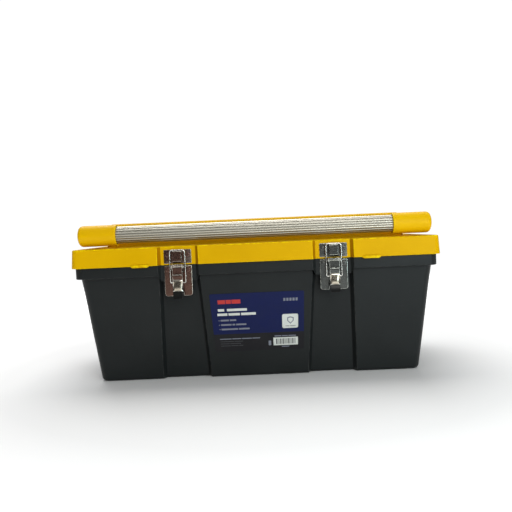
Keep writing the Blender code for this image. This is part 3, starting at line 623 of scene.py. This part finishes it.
def lid_rings():
    """The outside from the hump's top down to the seam, then the inside back up."""
    rings = []
    for inset, down in reversed(quarter(HUMP_ROUND, 7)):
        rings.append(ring(HUMP_TOP_Z - down, hump_outline(HUMP_DRAFT + inset)))
    rings.append(ring(SHELF_Z + 0.004, hump_outline(0.0006)))
    for out, rise in ((0.0, 0.0016), (-0.0005, 0.0005), (-0.0016, 0.0)):
        rings.append(ring(SHELF_Z + rise, hump_outline(out)))
    edge = 0.0024
    for inset, down in reversed(quarter(edge, 5)):
        shape = skirt_outline(SKIRT_DRAFT + inset, RECESS_FACE_Y + min(inset, 0.0015))
        rings.append(ring(SHELF_Z - down, shape))
    for t in (0.30, 0.65):
        z = SHELF_Z - edge + (SEAM_Z - SHELF_Z + edge) * t
        rings.append(ring(z, skirt_outline(SKIRT_DRAFT * (1 - t), RECESS_FACE_Y)))
    for inset, up in ((0.0, 0.0007), (0.0002, 0.0002), (0.0007, 0.0)):
        rings.append(ring(SEAM_Z + up, skirt_outline(inset, RECESS_FACE_Y + inset)))
    inside = RECESS_FACE_Y + LID_WALL
    rib, rib_top, ceiling = inside + 0.0035, RIM_TOP_Z + 0.0028, SHELF_Z - LID_WALL
    for z, inset, face_y in (
        (SEAM_Z, LID_WALL, inside),
        (RIM_TOP_Z + GAP, LID_WALL + 0.0005, inside),
        (RIM_TOP_Z + GAP, LID_WALL + 0.004, rib),
        (rib_top, LID_WALL + 0.004, rib),
        (rib_top, LID_WALL + 0.0007, inside),
        (ceiling, LID_WALL + SKIRT_DRAFT, inside),
    ):
        rings.append(ring(z, skirt_outline(inset, face_y)))
    rings.append(ring(ceiling, hump_outline(LID_WALL)))
    for inset, down in quarter(HUMP_ROUND - LID_WALL, 4):
        shape = hump_outline(HUMP_DRAFT + LID_WALL + inset)
        rings.append(ring(HUMP_TOP_Z - LID_WALL - down, shape))
    return rings


def finger_tab(x):
    """A lip under the lid's front edge, thinner towards its ends."""
    half = [(-0.015, 0.25), (-0.0135, 0.7), (-0.011, 1.0)]
    rings = []
    for at, size in mirrored(half):
        front = TAB_FRONT_Y - 0.0034 * size
        low, high = SEAM_Z + 0.0003 - 0.0027 * size, SEAM_Z + 0.0004 + 0.0034 * size
        shape = [(TAB_BACK_Y, low), (front + 0.0012 * size, low), (front, low + 0.0009 * size)]
        shape.append((front + 0.0003 * size, high - 0.0016 * size))
        shape += [(TAB_BACK_Y - 0.0010, high), (TAB_BACK_Y, high)]
        rings.append([(x + at, y, z) for y, z in shape])
    return loft(rings)


def make_lid():
    inner, outer = HUMP_HALF_X - BOSS_IN, ARM_INNER_X - GAP
    boss = [(inner, 0.0125), (inner + 0.0030, 0.0122), (inner + 0.0042, 0.0112)]
    boss += [(outer - 0.0008, 0.0110), (outer - 0.0002, 0.0108), (outer, 0.0102)]
    parts = [(loft(lid_rings()), 0)]
    for side in (-1, 1):
        parts.append((finger_tab(side * TAB_X), 0))
        parts.append((turned_x([(side * x, r) for x, r in boss], 0, HANDLE_Z, 36), 0))
        x0, x1 = side * HINGE_X - LID_KNUCKLE_HALF_X, side * HINGE_X + LID_KNUCKLE_HALF_X
        parts += knuckle(x0, x1, SEAM_Z + 0.0007, SEAM_Z + 0.0038, LID_BACK_Y)
    piece("lid_skin", parts, [lid_look], "lid", ["lid_shell"])


# ---- pins and rivets


def make_pins():
    end = [(-0.0265, 0.0009), (-0.0263, 0.0015), (-0.0257, HINGE_PIN_R)]
    for word, side in SIDES:
        pin = turned_x([(side * HINGE_X + a, r) for a, r in mirrored(end)], HINGE_Y, HINGE_Z, 20)
        node = f"lid_hinge_pin_{word}"
        piece(f"hinge_pin_{word}", [(pin, 0)], [steel_look], "tub", [node])


def rivet(x, z, tail_y):
    """A rivet from its low head at the front to its set tail behind the wall."""
    head = RECESS_FACE_Y - GAP - PLATE_T - GAP
    dome = [(head - 0.0006, 0.0022), (head - 0.00055, 0.0028), (head - 0.0004, 0.0032)]
    dome += [(head - 0.0002, 0.0035), (head, 0.0036)]
    tail = [(head, RIVET_R), (tail_y, RIVET_R), (tail_y, 0.0031), (tail_y + 0.0002, 0.0033)]
    tail += [(tail_y + 0.0008, 0.0032), (tail_y + 0.001, 0.0026)]
    return turned_y(dome + tail, x, z)


def make_rivets(word, x, look):
    for place, mark in ((-1, "a"), (1, "b")):
        at = x + place * RIVET_X
        strike = rivet(at, STRIKE_RIVET_Z, RECESS_FACE_Y + LID_WALL + GAP)
        base = rivet(at, BASE_RIVET_Z, RECESS_FACE_Y + RIM_BACK + RIM_WALL + GAP)
        for part, shape, body in (("strike", strike, "lid"), ("base", base, "tub")):
            node = f"{part}_rivet_{word}_{mark}"
            piece(node + "_set", [(shape, 0)], [look], body, [node])


# ---- latches


def plate(shape, front_y, back_y, edge):
    """A stamped plate with its front edge rolled over."""
    steps = [(back_y, 0.0), (front_y + edge, 0.0)]
    turns = (0.45, 0.9, 1.25, pi / 2)
    steps += [(front_y + edge * (1 - sin(t)), edge * (1 - cos(t))) for t in turns]
    return loft([[(x, y, z) for x, z in shrunk(shape, inset)] for y, inset in steps])


def shrunk(shape, inset):
    """A closed flat line moved inwards by a distance."""
    points = [Vector(p) for p in shape]
    behind, ahead = points[-1:] + points[:-1], points[1:] + points[:1]
    area = sum(a.x * b.y - b.x * a.y for a, b in zip(points, ahead))
    turn = 1 if area > 0 else -1
    moved = []
    for last, here, after in zip(behind, points, ahead):
        along_a, along_b = (here - last).normalized(), (after - here).normalized()
        both = turn * (Vector((-along_a.y, along_a.x)) + Vector((-along_b.y, along_b.x)))
        moved.append(tuple(here + both * inset / max(both.length_squared / 2, 0.3)))
    return moved


def make_strike(word, x, look):
    back = RECESS_FACE_Y - GAP
    corners = rectangle(x - PLATE_HALF_X, STRIKE_LOW_Z, x + PLATE_HALF_X, STRIKE_TOP_Z)
    shape = eased(corners, 0.0012, 4)
    inner = back - PLATE_T + 0.0001
    out = [
        (inner, TONGUE_TOP_Z, 0.0006),
        (TONGUE_FRONT_Y, TONGUE_TOP_Z, 0.0014),
        (TONGUE_FRONT_Y, STRIKE_LOW_Z + 0.0036, 0.0012),
        (TONGUE_FRONT_Y + 0.0025, STRIKE_LOW_Z + 0.0014, 0.0012),
        (inner, STRIKE_LOW_Z + 0.0006, 0.0004),
        (inner, STRIKE_LOW_Z + 0.0018, 0.0003),
        (TONGUE_FRONT_Y + 0.0031, STRIKE_LOW_Z + 0.0026, 0.0008),
        (TONGUE_FRONT_Y + 0.0012, STRIKE_LOW_Z + 0.0042, 0.0008),
        (TONGUE_FRONT_Y + 0.0012, TONGUE_TOP_Z - 0.0012, 0.0005),
        (inner, TONGUE_TOP_Z - 0.0012, 0.0003),
    ]
    strip = [(py, pz) for py, pz, _ in rounded([(a, b, r, 3, None) for a, b, r in out])]
    tongue = across_x(strip, x - TONGUE_HALF_X, x + TONGUE_HALF_X, 0.0004)
    parts = [(plate(shape, back - PLATE_T, back, 0.0007), 0), (tongue, 0)]
    piece(f"strike_{word}", parts, [look], "lid", [f"latch_strike_{word}"])


def make_base(word, x, look):
    back = RECESS_FACE_Y - GAP
    low, corner, notch, turn = BASE_LOW_Z, 0.0045, 0.0078, 0.003
    half = [(-PLATE_HALF_X, BASE_TOP_Z)]
    half += arc((-PLATE_HALF_X + corner, low + corner), corner, 180, 270, 8)
    half += [(-notch - 0.0005, low)]
    half += arc((-notch + turn, low + 0.0046), turn, 180, 90, 6)
    shape = [(x + px, z) for px, z in mirrored(half)]
    parts = [(plate(shape, back - PLATE_T, back, 0.0008), 0)]
    root = back - PLATE_T + 0.0001
    ear = [(root, LEVER_Z - 0.0107), (root, BASE_TOP_Z - 0.0007)]
    ear += arc((LEVER_Y, LEVER_Z), 0.0043, 78, 248, 14)
    for side in (-1, 1):
        parts.append((on_side(ear, x, side, 0.0086, 0.0098, 0.0003), 0))
    piece(f"base_{word}", parts, [look], "tub", [f"latch_base_{word}"])


def make_lever_pin(word, x):
    half = [(-0.0107, 0.0016), (-0.0106, 0.0021), (-0.0103, 0.0024), (-0.0101, 0.0024)]
    half.append((-0.0101, LEVER_PIN_R))
    pin = turned_x([(x + a, r) for a, r in mirrored(half)], LEVER_Y, LEVER_Z, 24)
    node = f"lever_pivot_pin_{word}"
    piece(f"lever_pin_{word}", [(pin, 0)], [steel_look], "tub", [node])


# The lever's face from top to tip, measured from its pin: (y, z, how far its middle bulges)
LEVER_FACE = [
    (-0.0016, 0.0042, 0), (-0.0034, 0.0037, 0), (-0.0043, 0.0028, 0),
    (-0.0043, 0.0018, 0), (-0.0049, 0.0014, 0), (-0.0055, 0.0008, 0),
    (-0.0055, -0.0003, 0), (-0.0050, -0.0009, 0), (-0.0043, -0.0014, 0),
    (-0.0042, -0.0060, 0), (-0.0043, -0.0112, 0), (-0.0048, -0.0116, 0),
    (-0.0057, -0.0122, 0), (-0.0057, -0.0134, 0), (-0.0049, -0.0140, 0),
    (-0.0042, -0.0145, 0), (-0.0041, -0.0175, 0), (-0.0041, -0.0205, 0),
    (-0.0047, -0.0213, 0.0006), (-0.0053, -0.0222, 0.0006), (-0.0052, -0.0235, 0.0008),
    (-0.0047, -0.0255, 0.0015), (-0.0042, -0.0285, 0.0022), (-0.0041, -0.0315, 0.0025),
    (-0.0042, -0.0345, 0.0026), (-0.0046, -0.0368, 0.0020), (-0.0054, -0.0380, 0.0010),
    (-0.0056, -0.0389, 0.0004), (-0.0051, -0.0396, 0.0001), (-0.0054, -0.0415, 0),
    (-0.0062, -0.0440, 0), (-0.0073, -0.0464, 0), (-0.0086, -0.0488, 0),
    (-0.0098, -0.0505, 0),
]
LEVER_CHEEK = [
    (0.0038, 0.0040), (0.0046, 0.0030), (0.0046, -0.0050), (0.0058, -0.0075), (0.0058, -0.0290),
    (0.0036, -0.0340), (-0.0024, -0.0372), (-0.0034, -0.0360), (-0.0034, 0.0030), (-0.0028, 0.0038),
]
# Where in the face the polished bulge and the dark finger tab begin
BULGE_START, TAB_START = 17, 28


def lever_strip(x, first, last):
    """The lever's bent face from one of its rows to another, one sheet thick."""
    across = [i / 8 - 1 for i in range(17)]
    rings = []
    count = len(LEVER_FACE)
    for i in range(first, last + 1):
        y, z, bulge = LEVER_FACE[i]
        above, below = LEVER_FACE[max(i - 1, 0)], LEVER_FACE[min(i + 1, count - 1)]
        along = Vector((below[0] - above[0], below[1] - above[1])).normalized()
        inward = Vector((-along.y, along.x)) * LEVER_T
        half = LEVER_HALF_X * (1.0 - 0.03 * max(0, i - count + 4))
        front = [(x + half * s, LEVER_Y + y - bulge * (1 - s**4), LEVER_Z + z) for s in across]
        back = [(px, py + inward.x, pz + inward.y) for px, py, pz in reversed(front)]
        rings.append(front + back)
    return soften(loft(rings), 0.0002, 2, 55)


def make_lever(word, x, look):
    cheek = eased([(LEVER_Y + a, LEVER_Z + b) for a, b in LEVER_CHEEK], 0.0008, 3)
    zones = ((0, BULGE_START), (BULGE_START, TAB_START), (TAB_START, len(LEVER_FACE) - 1))
    parts = [(lever_strip(x, first, last), slot) for slot, (first, last) in enumerate(zones)]
    near, far = LEVER_HALF_X - PLATE_T, LEVER_HALF_X - 0.00005
    for side in (-1, 1):
        parts.append((on_side(cheek, x, side, near, far, 0.00025), 0))
    looks = [look, nickel_polished, grip_look]
    piece(f"lever_{word}", parts, looks, f"lever_{word}", [f"latch_lever_{word}"])


def make_bail(word, x):
    low, high = LEVER_Z + BAIL_Z, TONGUE_TOP_Z + GAP + WIRE_R
    foot, head = 0.0022, 0.0042
    half = [(0.0071, low), (0.0080, low), (0.0090, low)]
    half += arc((BAIL_HALF_X - foot, low + foot), foot, 270, 360, 8)
    half += [(BAIL_HALF_X, low + (high - low) * t) for t in (0.25, 0.5, 0.75)]
    half += arc((BAIL_HALF_X - head, high - head), head, 0, 90, 10)
    low_y = LEVER_Y + BAIL_Y
    lean = (BAIL_TOP_Y - low_y) / (high - low)
    shape = wire([(x + px, low_y + lean * (z - low), z) for px, z in mirrored(half)], WIRE_R)
    node, body = f"latch_bail_{word}", f"bail_{word}"
    piece(f"bail_{word}", [(shape, 0)], [nickel_bright], body, [node])


def make_latches():
    # Each side's latch metal takes its own painted reflection colour.
    looks = {"left": (nickel_left_painted_reflection, rivet_left_painted_reflection), "right": (nickel_right_painted_reflection, rivet_right_painted_reflection)}
    for word, side in SIDES:
        x = side * LATCH_X
        look, rivet_look = looks[word]
        make_strike(word, x, look)
        make_base(word, x, look)
        make_lever_pin(word, x)
        make_lever(word, x, look)
        make_bail(word, x)
        make_rivets(word, x, rivet_look)


# ---- handle


def make_bar():
    """A drawn tube with rounded lands between its flutes."""
    dips = [0.0, 0.0, 0.06, 0.42, 0.88, 1.0, 0.88, 0.42]  # across one flute, in flute depths
    count = BAR_FLUTES * len(dips)
    fluted = [BAR_R - FLUTE_DEPTH * dip for dip in dips] * BAR_FLUTES
    bore = [BAR_R - BAR_WALL] * count
    turns = [2 * pi * i / count for i in range(count)]
    ends = [(-BAR_HALF_X, fluted), (0, fluted), (BAR_HALF_X, fluted)]
    ends += [(BAR_HALF_X, bore), (-BAR_HALF_X, bore)]
    bm = bmesh.new()
    rows = []
    for x, radii in ends:
        circle = [(x, HANDLE_Y + r * cos(a), HANDLE_Z + r * sin(a)) for r, a in zip(radii, turns)]
        rows.append([bm.verts.new(p) for p in circle])
    for low, high in zip(rows, rows[1:] + rows[:1]):
        for i in range(count):
            j = (i + 1) % count
            bm.faces.new((low[i], low[j], high[j], high[i]))
    bmesh.ops.recalc_face_normals(bm, faces=bm.faces)
    piece("bar_tube", [(bm, 0)], [bar_look], "handle", ["handle_bar"])


def make_cap(side):
    """A hollow cap with a thick rounded mouth and a rounded outer end."""
    lip_r = CAP_R + CAP_LIP
    mouth = [(0.0008, CAP_BORE_R), (0.0, CAP_BORE_R + 0.0007), (0.0, lip_r - 0.0009)]
    mouth += [(0.0003, lip_r - 0.0003), (0.0010, lip_r), (0.0046, lip_r), (0.0062, lip_r - 0.0002)]
    mouth += [(0.0080, CAP_R), (0.0300, CAP_R)]
    profile = [(CAP_BORE_X, 0.004), (CAP_BORE_X, CAP_BORE_R)]
    profile += [(CAP_MOUTH_X + x, r) for x, r in mouth]
    centre = (HANDLE_HALF_X - CAP_END_ROUND, CAP_R - CAP_END_ROUND)
    profile += arc(centre, CAP_END_ROUND, 90, 0, 10)
    return turned_x([(side * x, r) for x, r in profile], HANDLE_Y, HANDLE_Z, 56)


def make_arm(word, side):
    near = arc((HANDLE_Y, HANDLE_Z), ARM_R, 90, 270, 20)
    far = arc((0, HANDLE_Z), PIVOT_R, -90, 90, 20)
    strip = on_side(near + far, 0, side, ARM_INNER_X, ARM_OUTER_X, 0.0022)
    face = side * ARM_OUTER_X
    raised = [(0.001, 0.0098), (0.0001, 0.0096), (0.0001, 0.0070), (0.001, 0.0068)]
    seat = turned_x([(face - side * down, r) for down, r in raised], 0, HANDLE_Z, 36)
    parts = [(make_cap(side), 0), (strip, 0), (seat, 0)]
    piece(f"grip_arm_{word}", parts, [cap_look], "handle", [f"handle_arm_{word}"])


def make_handle_pin(word, side):
    """Head outside the arm, shank through the arm and the hump's end wall, clip inside it."""
    clip = HUMP_HALF_X - HUMP_DRAFT - LID_WALL - GAP
    head = ARM_OUTER_X + GAP
    profile = [(head + 0.0017, 0.0020), (head + 0.0016, 0.0038), (head + 0.0013, 0.0052)]
    profile += [(head + 0.0008, 0.0061), (head + 0.0003, 0.0064), (head, 0.0063)]
    profile += [(head, HANDLE_PIN_R), (clip, HANDLE_PIN_R), (clip, 0.0055), (clip - 0.0015, 0.0055)]
    pin = turned_x([(side * x, r) for x, r in profile], 0, HANDLE_Z, 32)
    node = f"handle_pivot_pin_{word}"
    piece(f"pivot_pin_{word}", [(pin, 0)], [steel_look], "lid", [node])


def make_handle():
    make_bar()
    for word, side in SIDES:
        make_arm(word, side)
        make_handle_pin(word, side)


# ---- tray


def tray_rings():
    """The outside from the floor up over the rim, then the inside back down."""
    foot, rest_z, top = TRAY_FLOOR_Z, LEDGE_Z + GAP, TRAY_RIM_TOP_Z
    shelf = rest_z + TRAY_WALL

    def wall(z, level, inset):
        return ring(z, wall_outline(level, TUB_WALL + TRAY_CLEAR + inset, 0.004))

    def rim(z, inset):
        half_x, half_y = TRAY_RIM_HALF_X - inset, TRAY_RIM_HALF_Y - inset
        return ring(z, rim_outline(half_x, half_y, TRAY_FACE_Y + inset, 0.006))

    return [
        wall(foot, foot, 0.008), wall(foot + 0.0005, foot, 0.0062), wall(foot + 0.002, foot, 0.005),
        wall(rest_z - 0.001, rest_z, 0), wall(rest_z, rest_z, -0.0006),
        rim(rest_z, 0.0006), rim(rest_z + 0.0006, 0.0), rim(top - 0.0008, 0.0),
        rim(top - 0.0002, 0.0003), rim(top, 0.0008), rim(top, TRAY_WALL - 0.0008),
        rim(top - 0.0006, TRAY_WALL), rim(shelf, TRAY_WALL),
        wall(shelf, rest_z, TRAY_WALL - 0.0008), wall(shelf - 0.0008, rest_z, TRAY_WALL),
        wall(foot + 0.0045, foot, 0.005 + TRAY_WALL), wall(foot + 0.0030, foot, 0.0062 + TRAY_WALL),
        wall(foot + TRAY_WALL, foot, 0.0085 + TRAY_WALL),
    ]


def make_tray():
    low, shoulder, top = TRAY_FLOOR_Z + 0.001, LEDGE_Z - 0.002, TRAY_GRIP_Z
    foot_x = between(TUB_FOOT_HALF_X, TUB_HALF_X, low) - 0.012
    end_x = between(TUB_FOOT_HALF_X, TUB_HALF_X, shoulder) - 0.0073
    spine = mirrored([(foot_x, low), (end_x, shoulder), (0.105, shoulder), (0.072, top)])
    slot_z = TRAY_GRIP_Z - GRIP_SLOT_DOWN
    slot = arc((-GRIP_SLOT_X, slot_z), GRIP_SLOT_R, 90, 270, 12)
    slot += arc((GRIP_SLOT_X, slot_z), GRIP_SLOT_R, -90, 90, 12)
    grip = mirrored([(-0.078, 0.0045), (-0.0775, 0.0060), (-0.0755, 0.0072), (-0.072, 0.008)])
    parts = [(loft(tray_rings()), 0), (spine_with_slot(spine, slot), 0)]
    parts.append((turned_x(grip, 0, TRAY_GRIP_Z - 0.001, 28), 0))
    rear_y = between(TUB_FOOT_HALF_Y, TUB_HALF_Y, TRAY_FLOOR_Z) - 0.0125
    front_y = RECESS_DEPTH - rear_y
    high = LEDGE_Z - 0.010
    dividers = [(x, front_y, 0) for x in DIVIDERS_FRONT] + [(x, 0, rear_y) for x in DIVIDERS_REAR]
    for x, y0, y1 in dividers:
        divider = box((x - DIVIDER_HALF_T, y0, low), (x + DIVIDER_HALF_T, y1, high), 0.0005)
        parts.append((divider, 0))
    piece("tray_with_grip", parts, [tray_look], "tray", ["tote_tray"])


def spine_with_slot(spine, slot):
    """The tray's middle wall, with a finger slot through it."""
    curve = bpy.data.curves.new("spine", "CURVE")
    curve.dimensions = "2D"
    curve.fill_mode = "BOTH"
    curve.extrude, curve.offset = SPINE_HALF_T, -SPINE_EDGE
    curve.bevel_depth, curve.bevel_resolution = SPINE_EDGE, 2
    for shape in (spine, slot):
        line = curve.splines.new("POLY")
        line.points.add(len(shape) - 1)
        for point, (x, z) in zip(line.points, shape):
            point.co = (x, z, 0, 1)
        line.use_cyclic_u = True
    holder = bpy.data.objects.new("spine", curve)
    mesh = bpy.data.meshes.new_from_object(holder)
    bm = bmesh.new()
    bm.from_mesh(mesh)
    bmesh.ops.remove_doubles(bm, verts=bm.verts, dist=1e-6)
    bm.transform(Matrix.Rotation(pi / 2, 4, "X"))
    bmesh.ops.recalc_face_normals(bm, faces=bm.faces)
    bpy.data.objects.remove(holder)
    bpy.data.curves.remove(curve)
    bpy.data.meshes.remove(mesh)
    return bm


# ---- label


def on_label(u, v, lift):
    """A point of the label: u from left to right and v from top to bottom, both 0 to 1."""
    z = LABEL_HIGH_Z + (LABEL_LOW_Z - LABEL_HIGH_Z) * v
    left = LABEL_LEFT_X + LABEL_LEFT_LEAN * v
    right = LABEL_RIGHT_X + LABEL_RIGHT_LEAN * v
    face = -between(TUB_FOOT_HALF_Y, TUB_HALF_Y, z) - GAP
    return (left + (right - left) * u, face - lift, z)


def patch(corners, number, low=LABEL_T, high=LABEL_T + INK_T):
    """A thin printed shape on the label, from (u, v) points."""
    return loft([[on_label(u, v, lift) for u, v in corners] for lift in (low, high)]), number


def field(v0, v1, number, top_round, low_round):
    """Part of the label's sheet, over its whole width."""
    corners = [(0.0, v1, low_round), (LABEL_ASPECT, v1, low_round)]
    corners += [(LABEL_ASPECT, v0, top_round), (0.0, v0, top_round)]
    line = rounded([(u, v, radius, 5, None) for u, v, radius in corners])
    return patch([(u / LABEL_ASPECT, v) for u, v, _ in line], number, 0.0, LABEL_T)


def block(u0, v0, u1, v1, number, soft=0.0):
    """A printed rectangle, with round corners if it is soft."""
    corners = rectangle(u0, v1, u1, v0)
    if not soft:
        return patch(corners, number)
    line = eased([(u * LABEL_ASPECT, v) for u, v in corners], soft, 5)
    return patch([(u / LABEL_ASPECT, v) for u, v in line], number)


def words(u, v, widths, height, number, gap=0.010):
    """A run of plain bars standing for a line of print, with no letters."""
    parts = []
    for width in widths:
        parts.append(block(u, v, u + width, v + height, number))
        u += width + gap
    return parts


def badge():
    """A white square with a plain shield outline, and a short line under it."""
    shield = [(0.816, 0.452), (0.852, 0.436), (0.888, 0.452)]
    shield += [(0.888, 0.508), (0.852, 0.566), (0.816, 0.508)]
    inner = [(0.852 + (u - 0.852) * 0.68, 0.496 + (v - 0.496) * 0.68) for u, v in shield]
    low = LABEL_T + INK_T
    middle, high = low + OVERPRINT_T, low + 2 * OVERPRINT_T
    return [
        block(0.762, 0.392, 0.936, 0.635, WHITE, 0.028),
        patch(list(reversed(shield)), GREY, low, middle),
        patch(list(reversed(inner)), WHITE, middle, high),
        *words(0.798, 0.592, [0.042, 0.060], 0.012, GREY, 0.008),
    ]


def bar_pattern():
    """Upright bars on a white field, which encode nothing."""
    parts = [block(0.658, 0.793, 0.933, 0.928, WHITE)]
    low = LABEL_T + INK_T
    u, step = 0.688, 0.0020
    for i, width in enumerate([6, 2, 3, 5, 2, 6, 3, 2, 4, 6, 2, 3, 5, 2, 3]):
        end = u + width * step
        parts.append(patch(rectangle(u, 0.906, end, 0.814), DIM, low, low + OVERPRINT_T))
        u += width * step + 0.0060 + 0.0018 * (i % 3)
    return parts


def make_label():
    """The sheet's two fields, and plain bars where the real label has print."""
    parts = [field(0.0, 0.70, NAVY, 0.03, 0.0005), field(0.70, 1.0, BLACK, 0.0005, 0.03)]
    parts += words(0.080, 0.108, [0.080, 0.055, 0.096], 0.068, RED, 0.006)
    parts += words(0.073, 0.262, [0.068, 0.215], 0.042, WHITE, 0.030)
    parts += words(0.063, 0.338, [0.108, 0.122, 0.160], 0.042, WHITE, 0.013)
    for row, widths in enumerate(([0.090, 0.070], [0.115, 0.030, 0.112], [0.180, 0.120])):
        v = 0.447 + 0.077 * row
        parts += words(0.069, v + 0.008, [0.010], 0.014, GREY)
        parts += words(0.091, v, widths, 0.028, GREY)
    parts += words(0.780, 0.115, [0.022] * 5, 0.050, GREY, 0.0105)
    parts += badge()
    parts += words(0.061, 0.778, [0.130, 0.100, 0.110, 0.085], 0.015, GREY, 0.008)
    for row, widths in enumerate(([0.150, 0.095], [0.100, 0.120], [0.110, 0.080, 0.045])):
        parts += words(0.064, 0.825 + 0.037 * row, widths, 0.011, DIM, 0.008)
    parts += words(0.673, 0.758, [0.075, 0.065, 0.085], 0.016, GREY, 0.007)
    parts += bar_pattern()
    parts += words(0.750, 0.943, [0.085], 0.016, GREY)
    parts.append(block(0.603, 0.842, 0.632, 0.925, GREY, 0.012))
    piece("label_sheet", parts, inks, "tub", ["front_label"])


# ---- camera, floor and light


def aimed_camera():
    """The photograph's view: straight in front, level with the handle and rolled a little."""
    yaw, pitch, roll = map(radians, CAMERA_TURN)
    ahead = Vector((sin(yaw) * cos(pitch), cos(yaw) * cos(pitch), sin(pitch)))
    level = Vector((cos(yaw), -sin(yaw), 0))
    upright = level.cross(ahead)
    right = cos(roll) * level + sin(roll) * upright
    up = cos(roll) * upright - sin(roll) * level
    data = bpy.data.cameras.new("camera")
    data.sensor_width, data.lens, data.clip_start = SENSOR_MM, LENS_MM, 0.01
    made = new_object("camera", data)
    turn = Matrix((right, up, -ahead)).transposed().to_4x4()
    made.matrix_world = Matrix.Translation(CAMERA_PLACE) @ turn
    bpy.context.scene.camera = made


def soft_light(name, place, size, power, colour):
    """A large square light aimed at the middle of the box."""
    data = bpy.data.lights.new(name, "AREA")
    data.size, data.energy, data.color = size, power, colour
    made = new_object(name, data)
    made.location = place
    towards = Vector(LIGHT_AIM) - Vector(place)
    made.rotation_euler = towards.to_track_quat("-Z", "Y").to_euler()
    made.visible_camera = False


def make_floor():
    """A pale disc that glows a little away from the box, so that it ends in white."""
    bm = bmesh.new()
    edge = arc((0, 0), FLOOR_R, 0, 360, FLOOR_SIDES)[:-1]
    bm.faces.new([bm.verts.new((x, y, 0)) for x, y in edge])
    mesh = bpy.data.meshes.new("floor")
    bm.to_mesh(mesh)
    bm.free()
    made, tree, shader = new_look("floor")
    pale = mixed(tree, noise(tree, 3.0), (0.82, 0.82, 0.82), (0.84, 0.84, 0.84))
    feed(tree, pale, shader, "Base Color")
    length = tree.nodes.new("ShaderNodeVectorMath")
    length.operation = "LENGTH"
    tree.links.new(tree.nodes.new("ShaderNodeTexCoord").outputs["Object"], length.inputs[0])
    glow = span(tree, length.outputs["Value"], 0.45, 1.15, 0.0, 0.55)
    feed(tree, glow, shader, "Emission Strength")
    shader.inputs["Emission Color"].default_value = (1.0, 1.0, 1.0, 1.0)
    shader.inputs["Roughness"].default_value = 0.8
    shader.inputs["Specular IOR Level"].default_value = 0.1
    mesh.materials.append(made)
    new_object("floor", mesh)


def make_sky():
    """White to the camera. As light it is bright overhead and dim near the horizon."""
    world = bpy.data.worlds.new("studio")
    world.use_nodes = True
    tree = world.node_tree
    back = tree.nodes["Background"]
    place = tree.nodes.new("ShaderNodeTexCoord")
    parts = tree.nodes.new("ShaderNodeSeparateXYZ")
    tree.links.new(place.outputs["Generated"], parts.inputs[0])
    glow = span(tree, parts.outputs["Z"], 0.05, 0.55, 0.05, 0.42)
    seen = tree.nodes.new("ShaderNodeLightPath").outputs["Is Camera Ray"]
    strength = maths(tree, "MAXIMUM", glow, times(tree, seen, 1.05))
    tree.links.new(strength, back.inputs["Strength"])
    back.inputs["Color"].default_value = (0.98, 0.99, 1.0, 1.0)
    bpy.context.scene.world = world


aimed_camera()
make_floor()
make_sky()
soft_light("key", (0.5, -2.15, 1.1), 1.1, 16.5, (1.0, 0.98, 0.93))
soft_light("top", (-0.2, 1.2, 2.3), 2.2, 68, (1.0, 1.0, 1.0))
soft_light("side", (0.8, -1.3, 0.34), 0.45, 5, (0.76, 0.94, 1.0))
bpy.context.scene.view_settings.view_transform = "Standard"

make_tub()
make_lid()
make_pins()
make_latches()
make_handle()
make_tray()
make_label()
